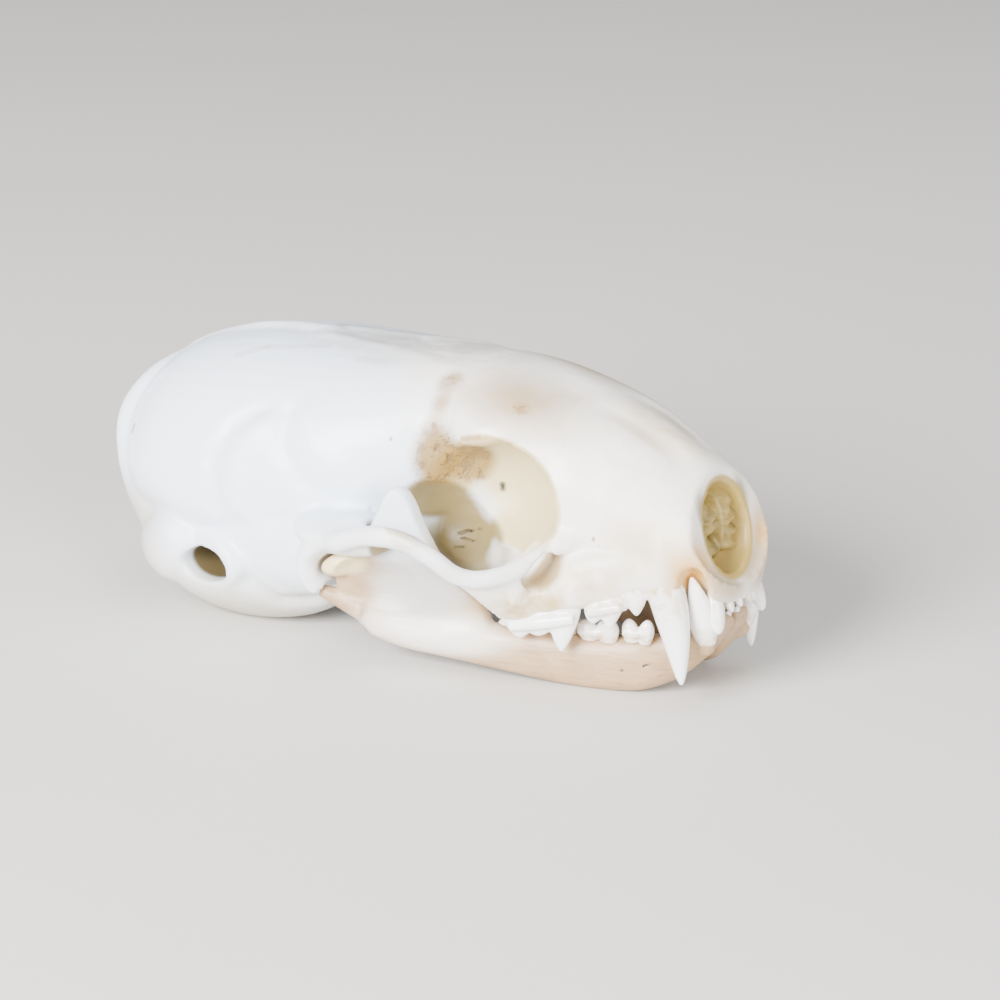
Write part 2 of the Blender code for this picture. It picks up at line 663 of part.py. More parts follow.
def ramus_plate():
    """Build the jaw's rear plate from its outline in side view."""
    closed = RAMUS_OUTLINE + RAMUS_OUTLINE[:1]
    outline = smooth_values(closed, 3 * len(closed))[:-1]
    rings = []
    for shift, inset in ((-1.0, 0.94), (-0.6, 1.0), (0.6, 1.0), (1.0, 0.94)):
        middle_x = sum(x for x, z in outline) / len(outline)
        middle_z = sum(z for x, z in outline) / len(outline)
        points = []
        for x, z in outline:
            inner_x = middle_x + (x - middle_x) * inset
            inner_z = middle_z + (z - middle_z) * inset
            y = ramus_y(inner_x, inner_z) + shift * RAMUS_HALF_THICKNESS
            points.append(Vector((inner_x, y, inner_z)))
        rings.append(points)
    return add_object(loft(rings), "ramus")


def build_jaw(side):
    """Build one lower jaw bone; side is 1 for the right and -1 for the left."""
    body = jaw_loft("body", JAW_BODY, 30)
    pieces = [
        ramus_plate(),
        rod("joint", JOINT_ENDS, JOINT_RADII),
        rod("angle", ANGLE_ROD, ANGLE_ROD_RADII),
    ]
    combine(body, pieces, "UNION")
    combine(body, [ellipsoid("fossa", FOSSA_CENTRE, FOSSA_RADII, fineness=24)], "DIFFERENCE")
    soften(body, JAW_TRIANGLES)
    keep_largest(body)
    combine(body, [tooth_loft(tooth) for tooth in LOWER_TEETH], "UNION")
    keep_largest(body)
    clip(body, (0, -SYMPHYSIS_HALF_GAP, 0), (0, 1, 0))
    clip(body, (0, 0, FLOOR), (0, 0, -1))
    close_slivers(body)
    if side < 0:
        body.data.transform(Matrix.Scale(-1, 4, (0, 1, 0)))
        body.data.flip_normals()
    return body


def main():
    """Build the three bones of the skull."""
    clear_scene()
    bone = bone_material("bone", BONE_COLOUR)
    jaw_bone = bone_material("jaw_bone", JAW_COLOUR)
    right = build_jaw(1)
    left = build_jaw(-1)
    cranium = build_cranium((right, left))
    finish(cranium, "cranium", bone)
    finish(right, "mandible_right", jaw_bone)
    finish(left, "mandible_left", jaw_bone)


main()
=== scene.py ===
"""Weasel skull, life size, as it lies closed on its jaws and ear capsules.

All shapes are given in millimetres in the skull's own frame: X forward to the
snout, Y to the animal's left, Z up from the floor. Each finished piece is
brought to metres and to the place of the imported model.
"""

from __future__ import annotations

import logging
import math
from dataclasses import dataclass
from enum import Enum
from typing import NamedTuple, Sequence

import bmesh
import bpy
import numpy as np
from mathutils import Matrix, Vector

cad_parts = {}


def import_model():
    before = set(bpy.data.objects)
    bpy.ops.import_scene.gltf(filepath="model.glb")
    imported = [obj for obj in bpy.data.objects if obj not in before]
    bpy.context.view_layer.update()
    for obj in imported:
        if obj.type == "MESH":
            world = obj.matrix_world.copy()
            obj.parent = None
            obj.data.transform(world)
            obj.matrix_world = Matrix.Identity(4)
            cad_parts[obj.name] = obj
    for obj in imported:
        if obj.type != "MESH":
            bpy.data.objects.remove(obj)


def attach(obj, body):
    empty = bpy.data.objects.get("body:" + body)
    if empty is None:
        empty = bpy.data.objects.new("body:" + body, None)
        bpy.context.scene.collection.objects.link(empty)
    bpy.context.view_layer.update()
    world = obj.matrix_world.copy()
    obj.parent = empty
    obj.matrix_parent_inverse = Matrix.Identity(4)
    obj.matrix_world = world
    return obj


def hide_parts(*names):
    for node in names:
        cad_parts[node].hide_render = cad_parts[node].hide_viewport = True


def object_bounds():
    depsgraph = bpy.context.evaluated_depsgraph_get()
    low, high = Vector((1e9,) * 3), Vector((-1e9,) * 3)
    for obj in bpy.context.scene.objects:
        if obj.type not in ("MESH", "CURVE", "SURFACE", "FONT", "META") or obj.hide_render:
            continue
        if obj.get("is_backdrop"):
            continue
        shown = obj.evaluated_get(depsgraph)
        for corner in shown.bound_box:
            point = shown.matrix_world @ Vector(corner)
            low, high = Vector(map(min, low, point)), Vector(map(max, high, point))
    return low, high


LOG = logging.getLogger("skull")

MM = 0.001
CENTRE_SHIFT = 0.849
BODY = "root"
MIRROR_Y = (0.0, 1.0, 0.0)

OVAL_CORNERS = 48
JAW_CORNERS = 24
STRAP_CORNERS = 16
CUSP_CORNERS = 16
BAR_CORNERS = 24
BALL_CORNERS = 28
FINE_CORNERS = 40
ORBIT_CORNERS = 48
TOOTH_VOXEL = 0.09
TOOTH_SMOOTHING = 3
SMOOTH_FACTOR = 0.5
FAR = 1e9

PATCH_SCALE = 0.5
PATCH_MIDDLE = 0.5
PATCH_SPREAD = 0.28
PATCH_FULL = 0.64
LINE_WOBBLE = 0.3
PORE_WOBBLE = 0.6
PIT_DEPTH = 0.12
STREAK_STRETCH = (0.35, 2.0, 4.5)
ENAMEL_STRETCH = (9.0, 9.0, 1.2)

Point = tuple[float, float, float]
Colour = tuple[float, float, float]


class Side(Enum):
    """Side of the animal; the value is the factor on Y."""

    RIGHT = 1
    LEFT = -1


BOTH = (Side.RIGHT, Side.LEFT)


class Action(Enum):
    """What a Boolean does with the pieces given to it."""

    JOIN = "UNION"
    CUT = "DIFFERENCE"


class Section(NamedTuple):
    """Oval section across X, with its own width and height above and below the waist."""

    x: float
    half_width: float
    top: float
    bottom: float
    waist: float
    upper_power: float
    lower_power: float


class JawSection(NamedTuple):
    """Boxy oval section of the lower jaw across X."""

    x: float
    y: float
    half_width: float
    top: float
    bottom: float
    power: float


class Strap(NamedTuple):
    """One station of a swept bar: place, half thickness across and half depth."""

    x: float
    y: float
    z: float
    across: float
    deep: float


class Lobe(NamedTuple):
    """One cusp of a tooth, from the middle of its root to its tip."""

    root: Point
    tip: Point
    along: float
    across: float
    row_angle: float
    profile: Sequence[tuple[float, float]]
    bend: float = 0.0


class Ball(NamedTuple):
    """Stretched ball with an optional turn in degrees about Z and about Y."""

    centre: Point
    radii: Point
    turn_z: float = 0.0
    turn_y: float = 0.0


class Bar(NamedTuple):
    """Straight round bar, flattened by a factor and tilted about its own line."""

    start: Point
    end: Point
    start_radius: float
    end_radius: float
    flatten: float = 1.0
    tilt: float = 0.0


class Relief(NamedTuple):
    """Line along which the surface is raised, or sunk where the height is negative."""

    points: Sequence[Point]
    radius: float
    height: float


class Sheen(NamedTuple):
    """Strength of the fine relief, depth that light enters to, and clear coat."""

    bump: float
    inner_light: float
    inner_depth: float
    inner_radius: Colour
    coat: float
    coat_rough: float


class Lamp(NamedTuple):
    """Round soft light, placed and sized in millimetres."""

    name: str
    place: Point
    size: float
    power: float
    colour: Colour


FANG = (
    (0.0, 0.6), (0.15, 0.85), (0.28, 1.0), (0.4, 0.95), (0.5, 0.87), (0.6, 0.76),
    (0.7, 0.64), (0.8, 0.5), (0.88, 0.37), (0.95, 0.24), (1.0, 0.1),
)
BLADE = (
    (0.0, 0.7), (0.25, 0.9), (0.45, 1.0), (0.65, 0.94),
    (0.78, 0.8), (0.88, 0.6), (0.95, 0.4), (1.0, 0.18),
)
PEG = (
    (0.0, 0.65), (0.2, 0.85), (0.4, 1.0), (0.6, 0.98),
    (0.75, 0.88), (0.88, 0.68), (0.96, 0.42), (1.0, 0.2),
)
CONE = ((0.0, 0.7), (0.3, 0.9), (0.5, 1.0), (0.65, 0.88), (0.8, 0.62), (0.92, 0.36), (1.0, 0.15))
PLATE = ((0.0, 1.0), (0.3, 0.9), (0.6, 0.85), (1.0, 0.8))

BONE_SHEEN = Sheen(0.7, 0.12, 0.8, (1.0, 0.7, 0.5), 0.12, 0.25)
ENAMEL_SHEEN = Sheen(0.5, 0.2, 0.6, (1.0, 0.85, 0.7), 0.5, 0.08)


def smooth_rows(rows: Sequence[Sequence[float]], count: int) -> list[list[float]]:
    """Read rows of numbers as smooth curves at evenly spread places.

    Args:
        rows: Rows that the curves run through.
        count: Number of places to read.

    Returns:
        One row of numbers for each place.
    """
    last = len(rows) - 1
    values = []
    for step in range(count):
        place = last * step / (count - 1)
        index = min(int(place), last - 1)
        part = place - index
        before, after = rows[max(index - 1, 0)], rows[min(index + 2, last)]
        row = []
        for a, b, c, d in zip(before, rows[index], rows[index + 1], after):
            slope_in = (c - a) / 2
            slope_out = (d - b) / 2
            cube = 2 * (b - c) + slope_in + slope_out
            square = 3 * (c - b) - 2 * slope_in - slope_out
            row.append(((cube * part + square) * part + slope_in) * part + b)
        values.append(row)
    return values


def squared_cosine(angle: float, power: float) -> float:
    """Return a cosine squared off by a power.

    Args:
        angle: Angle in radians.
        power: 2 gives a plain cosine, more gives a boxier oval.

    Returns:
        The squared-off cosine.
    """
    value = math.cos(angle)
    return math.copysign(abs(value) ** (2.0 / power), value)


def add_object(surface: bmesh.types.BMesh, name: str) -> bpy.types.Object:
    """Put a bmesh into the scene.

    Args:
        surface: The mesh, which is freed.
        name: Name of the object and of its mesh.

    Returns:
        The new object.
    """
    mesh = bpy.data.meshes.new(name)
    surface.to_mesh(mesh)
    surface.free()
    item = bpy.data.objects.new(name, mesh)
    bpy.context.scene.collection.objects.link(item)
    return item


def loft(name: str, rings: Sequence[Sequence[Vector]]) -> bpy.types.Object:
    """Bridge rings of points into one closed surface with flat ends.

    Args:
        name: Name of the object.
        rings: Rings of the same number of points, in order.

    Returns:
        The lofted object.
    """
    surface = bmesh.new()
    loops = []
    for points in rings:
        circle = bmesh.ops.create_circle(surface, segments=len(points), radius=1.0)
        for vertex, point in zip(circle["verts"], points):
            vertex.co = point
        loops.append(list({edge for vertex in circle["verts"] for edge in vertex.link_edges}))
    for first, second in zip(loops, loops[1:]):
        bmesh.ops.bridge_loops(surface, edges=first + second)
    bmesh.ops.holes_fill(surface, edges=loops[0] + loops[-1], sides=0)
    bmesh.ops.recalc_face_normals(surface, faces=surface.faces)
    return add_object(surface, name)


def section_loft(name: str, sections: Sequence[Section], steps: int) -> bpy.types.Object:
    """Loft oval sections that stand across X.

    Args:
        name: Name of the object.
        sections: The sections from back to front.
        steps: Number of rings in the loft.

    Returns:
        The lofted object.
    """
    rings = []
    for x, half_width, top, bottom, waist, upper, lower in smooth_rows(sections, steps):
        points = []
        for index in range(OVAL_CORNERS):
            angle = 2 * math.pi * index / OVAL_CORNERS
            rising = math.sin(angle) > 0
            power = upper if rising else lower
            height = (top - waist) if rising else (waist - bottom)
            y = half_width * squared_cosine(angle, power)
            z = waist + height * squared_cosine(angle - math.pi / 2, power)
            points.append(Vector((x, y, z)))
        rings.append(points)
    return loft(name, rings)


def jaw_loft(name: str, sections: Sequence[JawSection], steps: int) -> bpy.types.Object:
    """Loft the body of the lower jaw, whose middle line bends outward.

    Args:
        name: Name of the object.
        sections: The sections from the chin back.
        steps: Number of rings in the loft.

    Returns:
        The lofted object.
    """
    rings = []
    for x, y, half_width, top, bottom, power in smooth_rows(sections, steps):
        points = []
        for index in range(JAW_CORNERS):
            angle = 2 * math.pi * index / JAW_CORNERS
            across = half_width * squared_cosine(angle, power)
            rise = (top - bottom) / 2 * squared_cosine(angle - math.pi / 2, power)
            points.append(Vector((x, y + across, (top + bottom) / 2 + rise)))
        rings.append(points)
    return loft(name, rings)


def sweep(
    name: str,
    straps: Sequence[Strap],
    steps: int,
    side: Side = Side.RIGHT,
    broad: Vector | None = None,
) -> bpy.types.Object:
    """Sweep an oval along a bent centre line.

    Args:
        name: Name of the object.
        straps: Stations of the centre line.
        steps: Number of rings.
        side: Side of the skull that the bar is on.
        broad: Direction of the oval's first axis, or None to keep the depth upright.

    Returns:
        The swept object.
    """
    rows = smooth_rows(straps, steps)
    centres = [Vector((row[0], row[1] * side.value, row[2])) for row in rows]
    rings = []
    for index, row in enumerate(rows):
        along = centres[min(index + 1, steps - 1)] - centres[max(index - 1, 0)]
        along.normalize()
        across = broad if broad is not None else along.cross(Vector((0, 0, 1))).normalized()
        upward = along.cross(across).normalized()
        points = []
        for corner in range(STRAP_CORNERS):
            angle = 2 * math.pi * corner / STRAP_CORNERS
            offset = across * row[3] * math.cos(angle) + upward * row[4] * math.sin(angle)
            points.append(centres[index] + offset)
        rings.append(points)
    return loft(name, rings)


def lobe_loft(name: str, lobe: Lobe, side: Side) -> bpy.types.Object:
    """Loft one tooth cusp from root to tip.

    Args:
        name: Name of the object.
        lobe: The cusp.
        side: Side of the skull that the cusp is on.

    Returns:
        The lofted object.
    """
    root, tip = Vector(lobe.root), Vector(lobe.tip)
    turn = math.radians(lobe.row_angle)
    along_row = Vector((math.cos(turn), math.sin(turn), 0))
    across_row = Vector((-math.sin(turn), math.cos(turn), 0))
    rings = []
    for level, size in lobe.profile:
        centre = root.lerp(tip, level) + along_row * lobe.bend * math.sin(math.pi * level)
        points = []
        for index in range(CUSP_CORNERS):
            angle = 2 * math.pi * index / CUSP_CORNERS
            offset = along_row * lobe.along * math.cos(angle)
            offset += across_row * lobe.across * math.sin(angle)
            point = centre + offset * size
            points.append(Vector((point.x, point.y * side.value, point.z)))
        rings.append(points)
    return loft(name, rings)


def ball(
    name: str,
    shape: Ball,
    side: Side = Side.RIGHT,
    fineness: int = BALL_CORNERS,
) -> bpy.types.Object:
    """Make a stretched ball.

    Args:
        name: Name of the object.
        shape: The ball on the right side.
        side: Side that it is wanted on.
        fineness: Number of segments round it.

    Returns:
        The new object.
    """
    surface = bmesh.new()
    bmesh.ops.create_uvsphere(
        surface, u_segments=fineness, v_segments=fineness // 2, radius=1.0
    )
    bmesh.ops.scale(surface, vec=shape.radii, verts=surface.verts)
    turn = Matrix.Rotation(math.radians(shape.turn_z) * side.value, 3, "Z")
    turn = turn @ Matrix.Rotation(math.radians(shape.turn_y), 3, "Y")
    bmesh.ops.rotate(surface, cent=(0, 0, 0), matrix=turn, verts=surface.verts)
    centre = (shape.centre[0], shape.centre[1] * side.value, shape.centre[2])
    bmesh.ops.translate(surface, vec=centre, verts=surface.verts)
    return add_object(surface, name)


def bar(name: str, shape: Bar, side: Side = Side.RIGHT) -> bpy.types.Object:
    """Make a straight round or flattened bar.

    Args:
        name: Name of the object.
        shape: The bar on the right side.
        side: Side that it is wanted on.

    Returns:
        The new object.
    """
    flip = Matrix.Scale(side.value, 3, MIRROR_Y)
    start, end = flip @ Vector(shape.start), flip @ Vector(shape.end)
    along = end - start
    surface = bmesh.new()
    bmesh.ops.create_cone(
        surface,
        cap_ends=True,
        segments=BAR_CORNERS,
        radius1=shape.start_radius,
        radius2=shape.end_radius,
        depth=along.length,
    )
    bmesh.ops.scale(surface, vec=(shape.flatten, 1.0, 1.0), verts=surface.verts)
    tilt = Matrix.Rotation(math.radians(shape.tilt) * side.value, 3, "Z")
    turn = along.to_track_quat("Z", "Y").to_matrix() @ tilt
    bmesh.ops.rotate(surface, cent=(0, 0, 0), matrix=turn, verts=surface.verts)
    bmesh.ops.translate(surface, vec=(start + end) / 2, verts=surface.verts)
    return add_object(surface, name)


def apply_modifier(item: bpy.types.Object, modifier: bpy.types.Modifier) -> None:
    """Write a modifier's result into the object's mesh.

    Args:
        item: The object.
        modifier: Its only modifier.
    """
    bpy.context.view_layer.update()
    graph = bpy.context.evaluated_depsgraph_get()
    result = bpy.data.meshes.new_from_object(item.evaluated_get(graph))
    item.modifiers.remove(modifier)
    old = item.data
    item.data = result
    bpy.data.meshes.remove(old)


def combine(
    item: bpy.types.Object, others: Sequence[bpy.types.Object], action: Action
) -> None:
    """Apply one Boolean of a group of closed pieces and remove the pieces.

    Args:
        item: The object that is changed.
        others: The pieces that are joined to it or cut from it.
        action: What is done with the pieces.
    """
    group = bpy.data.collections.new("group")
    bpy.context.scene.collection.children.link(group)
    for other in others:
        group.objects.link(other)
    boolean = item.modifiers.new("combine", "BOOLEAN")
    boolean.operation = action.value
    boolean.operand_type = "COLLECTION"
    boolean.collection = group
    boolean.solver = "EXACT"
    boolean.use_self = action is Action.JOIN
    apply_modifier(item, boolean)
    for other in others:
        bpy.data.objects.remove(other, do_unlink=True)
    bpy.data.collections.remove(group)


def soften(item: bpy.types.Object, voxel: float, rounds: int) -> None:
    """Blend the joins of a fused piece.

    Args:
        item: The object.
        voxel: Size of the new mesh's cells.
        rounds: Number of smoothing rounds.
    """
    remesh = item.modifiers.new("even", "REMESH")
    remesh.mode = "VOXEL"
    remesh.voxel_size = voxel
    remesh.adaptivity = 0.0
    apply_modifier(item, remesh)
    if rounds:
        smooth = item.modifiers.new("smooth", "SMOOTH")
        smooth.factor = SMOOTH_FACTOR
        smooth.iterations = rounds
        apply_modifier(item, smooth)


def clearance(item: bpy.types.Object, gap: float, voxel: float) -> bpy.types.Object:
    """Return a swollen copy of a piece, to cut room for it.

    Args:
        item: The piece.
        gap: How far the copy stands off the piece.
        voxel: Size of the copy's cells.

    Returns:
        The copy.
    """
    copy = bpy.data.objects.new("clearance", item.data.copy())
    bpy.context.scene.collection.objects.link(copy)
    swell = copy.modifiers.new("swell", "DISPLACE")
    swell.strength = gap
    swell.mid_level = 0.0
    apply_modifier(copy, swell)
    soften(copy, voxel, 0)
    return copy


def keep_largest(item: bpy.types.Object) -> None:
    """Keep the largest closed surface of a mesh.

    Args:
        item: The object.
    """
    surface = bmesh.new()
    surface.from_mesh(item.data)
    unseen = set(surface.verts)
    groups = []
    while unseen:
        waiting = [unseen.pop()]
        group = set(waiting)
        while waiting:
            for edge in waiting.pop().link_edges:
                for vertex in edge.verts:
                    if vertex in unseen:
                        unseen.remove(vertex)
                        group.add(vertex)
                        waiting.append(vertex)
        groups.append(group)
    groups.sort(key=len)
    for group in groups[:-1]:
        bmesh.ops.delete(surface, geom=list(group), context="VERTS")
    surface.to_mesh(item.data)
    surface.free()


def clip(item: bpy.types.Object, point: Point, normal: Point) -> None:
    """Cut off all that lies on the normal's side of a plane and close the cut.

    Args:
        item: The object.
        point: A point of the plane.
        normal: The plane's normal, towards what is removed.
    """
    surface = bmesh.new()
    surface.from_mesh(item.data)
    everything = surface.verts[:] + surface.edges[:] + surface.faces[:]
    cut = bmesh.ops.bisect_plane(
        surface, geom=everything, plane_co=point, plane_no=normal, clear_outer=True
    )
    edges = [part for part in cut["geom_cut"] if isinstance(part, bmesh.types.BMEdge)]
    bmesh.ops.holes_fill(surface, edges=edges, sides=0)
    surface.to_mesh(item.data)
    surface.free()


def tooth_row(
    lobes: Sequence[Lobe],
    gum_bars: Sequence[Sequence[Strap]],
    gum_steps: int,
    sides: Sequence[Side],
) -> bpy.types.Object:
    """Build teeth from their cusps, with the low bars that join neighbours.

    Args:
        lobes: The cusps on the right side.
        gum_bars: Stations of each bar on the right side.
        gum_steps: Number of rings in a bar.
        sides: Sides on which they are made.

    Returns:
        The teeth as one piece.
    """
    row = [lobe_loft("cusp", lobe, side) for lobe in lobes for side in sides]
    row += [sweep("gum_bar", gum_bar, gum_steps, side) for gum_bar in gum_bars for side in sides]
    combine(row[0], row[1:], Action.JOIN)
    soften(row[0], TOOTH_VOXEL, TOOTH_SMOOTHING)
    return row[0]


def read_places(mesh: bpy.types.Mesh) -> np.ndarray:
    """Read where a mesh's corners are.

    Args:
        mesh: The mesh.

    Returns:
        One row of X, Y and Z for each corner.
    """
    places = np.empty(len(mesh.vertices) * 3, np.float32)
    mesh.vertices.foreach_get("co", places)
    return places.reshape(-1, 3)


def carve(item: bpy.types.Object, reliefs: Sequence[Relief], sides: Sequence[Side]) -> None:
    """Raise and sink the surface along lines.

    Args:
        item: The object.
        reliefs: The lines on the right side.
        sides: Sides on which they are made.
    """
    mesh = item.data
    places = read_places(mesh)
    count = len(places)
    normals = np.empty(count * 3, np.float32)
    mesh.vertex_normals.foreach_get("vector", normals)
    moved = np.zeros(count, np.float32)
    for relief in reliefs:
        for side in sides:
            nearest = np.full(count, FAR, np.float32)
            line = [np.array((x, y * side.value, z)) for x, y, z in relief.points]
            for start, end in zip(line, line[1:]):
                span = end - start
                part = np.clip((places - start) @ span / (span @ span), 0.0, 1.0)
                gap = np.linalg.norm(places - start - part[:, None] * span, axis=1)
                nearest = np.minimum(nearest, gap)
            moved += relief.height * np.exp(-((nearest / relief.radius) ** 2))
    places += normals.reshape(-1, 3) * moved[:, None]
    mesh.vertices.foreach_set("co", places.ravel())
    mesh.update()


class Tree:
    """Short calls for building one node tree."""

    def __init__(self, tree: bpy.types.NodeTree) -> None:
        """Wrap a tree.

        Args:
            tree: The node tree.
        """
        self.tree = tree

    def add(self, kind: str, values: dict | None = None, **settings: object) -> bpy.types.Node:
        """Add a node.

        Args:
            kind: Type name of the node.
            values: Inputs by name or number, each a value or an output socket.
            **settings: Properties of the node.

        Returns:
            The node.
        """
        node = self.tree.nodes.new(kind)
        for name, setting in settings.items():
            setattr(node, name, setting)
        for key, value in (values or {}).items():
            self.feed(node.inputs[key], value)
        return node

    def feed(self, socket: bpy.types.NodeSocket, value: object) -> None:
        """Give an input its value or link it to an output.

        Args:
            socket: The input.
            value: A number, a vector, a colour or an output socket.
        """
        if isinstance(value, bpy.types.NodeSocket):
            self.tree.links.new(value, socket)
        else:
            socket.default_value = value

    def shared(self, group: bpy.types.NodeTree, *values: object) -> bpy.types.Node:
        """Add one of the shared groups.

        Args:
            group: The group.
            *values: Its inputs.

        Returns:
            The node.
        """
        return self.add("ShaderNodeGroup", dict(enumerate(values)), node_tree=group)

    def math(self, operation: str, *values: object) -> bpy.types.NodeSocket:
        """Add a Math node.

        Args:
            operation: Name of the operation.
            *values: Its inputs.

        Returns:
            The result's socket.
        """
        node = self.add("ShaderNodeMath", dict(enumerate(values)), operation=operation)
        return node.outputs[0]

    def vector(
        self, operation: str, *values: object, output: str = "Vector"
    ) -> bpy.types.NodeSocket:
        """Add a Vector Math node.

        Args:
            operation: Name of the operation.
            *values: Its inputs.
            output: Name of the wanted output.

        Returns:
            The result's socket.
        """
        node = self.add("ShaderNodeVectorMath", dict(enumerate(values)), operation=operation)
        return node.outputs[output]

    def ramp(self, value: object, low: float, high: float) -> bpy.types.NodeSocket:
        """Map a value smoothly to 0 at low and 1 at high.

        Args:
            value: The value's socket.
            low: Value that gives 0.
            high: Value that gives 1.

        Returns:
            The result's socket.
        """
        if low < high:
            node = self.add(
                "ShaderNodeMapRange",
                {"Value": value, "From Min": low, "From Max": high},
                interpolation_type="SMOOTHSTEP",
            )
            return node.outputs["Result"]
        rising = self.ramp(value, high, low)
        return self.math("SUBTRACT", 1.0, rising)

    def noise(
        self, place: object, scale: float, detail: float = 3.0, bend: float = 0.0
    ) -> bpy.types.NodeSocket:
        """Add a noise texture.

        Args:
            place: The position's socket, in millimetres.
            scale: Cells per millimetre.
            detail: Number of finer layers.
            bend: Distortion of the pattern.

        Returns:
            The socket of its strength, from 0 to 1.
        """
        values = {"Vector": place, "Scale": scale, "Detail": detail, "Distortion": bend}
        return self.add("ShaderNodeTexNoise", values).outputs["Fac"]

    def wander(self, place: object, scale: float) -> bpy.types.NodeSocket:
        """Add a noise texture that gives a direction.

        Args:
            place: The position's socket, in millimetres.
            scale: Cells per millimetre.

        Returns:
            The socket of its three strengths, each from 0 to 1.
        """
        values = {"Vector": place, "Scale": scale, "Detail": 2.0}
        return self.add("ShaderNodeTexNoise", values).outputs["Color"]

    def mix(
        self, share: object, first: object, second: object, blend: str = "MIX"
    ) -> bpy.types.NodeSocket:
        """Mix two colours.

        Args:
            share: How much of the second colour is used.
            first: First colour or its socket.
            second: Second colour or its socket.
            blend: Blend mode.

        Returns:
            The mixed colour's socket.
        """
        node = self.add("ShaderNodeMix", data_type="RGBA", blend_type=blend)
        for place, value in ((0, share), (6, first), (7, second)):
            if isinstance(value, tuple):
                value = (*value, 1.0)
            self.feed(node.inputs[place], value)
        return node.outputs[2]


def new_material(name: str) -> tuple[bpy.types.Material, Tree, bpy.types.Node]:
    """Start a material.

    Args:
        name: Name of the material.

    Returns:
        The material, a Tree for it and its surface shader.
    """
    material = bpy.data.materials.new(name)
    material.use_nodes = True
    shader = material.node_tree.nodes["Principled BSDF"]
    return material, Tree(material.node_tree), shader


def set_surface(
    tree: Tree,
    shader: bpy.types.Node,
    colour: object,
    rough: object,
    height: object,
    sheen: Sheen,
) -> None:
    """Give a surface shader its colour, fine relief and shine.

    Args:
        tree: The material's tree.
        shader: The surface shader.
        colour: Socket of the colour.
        rough: Socket of the roughness.
        height: Socket of the fine relief, in millimetres.
        sheen: Strength of the relief, inner light and coat.
    """
    values = {"Height": height, "Strength": sheen.bump, "Distance": MM}
    tree.feed(shader.inputs["Base Color"], colour)
    tree.feed(shader.inputs["Roughness"], rough)
    tree.feed(shader.inputs["Normal"], tree.add("ShaderNodeBump", values).outputs[0])
    tree.feed(shader.inputs["Subsurface Weight"], sheen.inner_light)
    tree.feed(shader.inputs["Subsurface Scale"], sheen.inner_depth * MM)
    tree.feed(shader.inputs["Subsurface Radius"], sheen.inner_radius)
    tree.feed(shader.inputs["Coat Weight"], sheen.coat)
    tree.feed(shader.inputs["Coat Roughness"], sheen.coat_rough)


def new_group(
    name: str, inputs: Sequence[tuple[str, str]], outputs: Sequence[tuple[str, str]]
) -> tuple[bpy.types.NodeTree, bpy.types.Node, bpy.types.Node, Tree]:
    """Start a shader node group.

    Args:
        name: Name of the group.
        inputs: Name and kind (Float, Vector or Color) of each input.
        outputs: Name and kind of each output.

    Returns:
        The group, its input node, its output node and a Tree for it.
    """
    group = bpy.data.node_groups.new(name, "ShaderNodeTree")
    for sockets, way in ((inputs, "INPUT"), (outputs, "OUTPUT")):
        for label, kind in sockets:
            group.interface.new_socket(
                name=label, in_out=way, socket_type="NodeSocket" + kind
            )
    start = group.nodes.new("NodeGroupInput")
    end = group.nodes.new("NodeGroupOutput")
    return group, start, end, Tree(group)


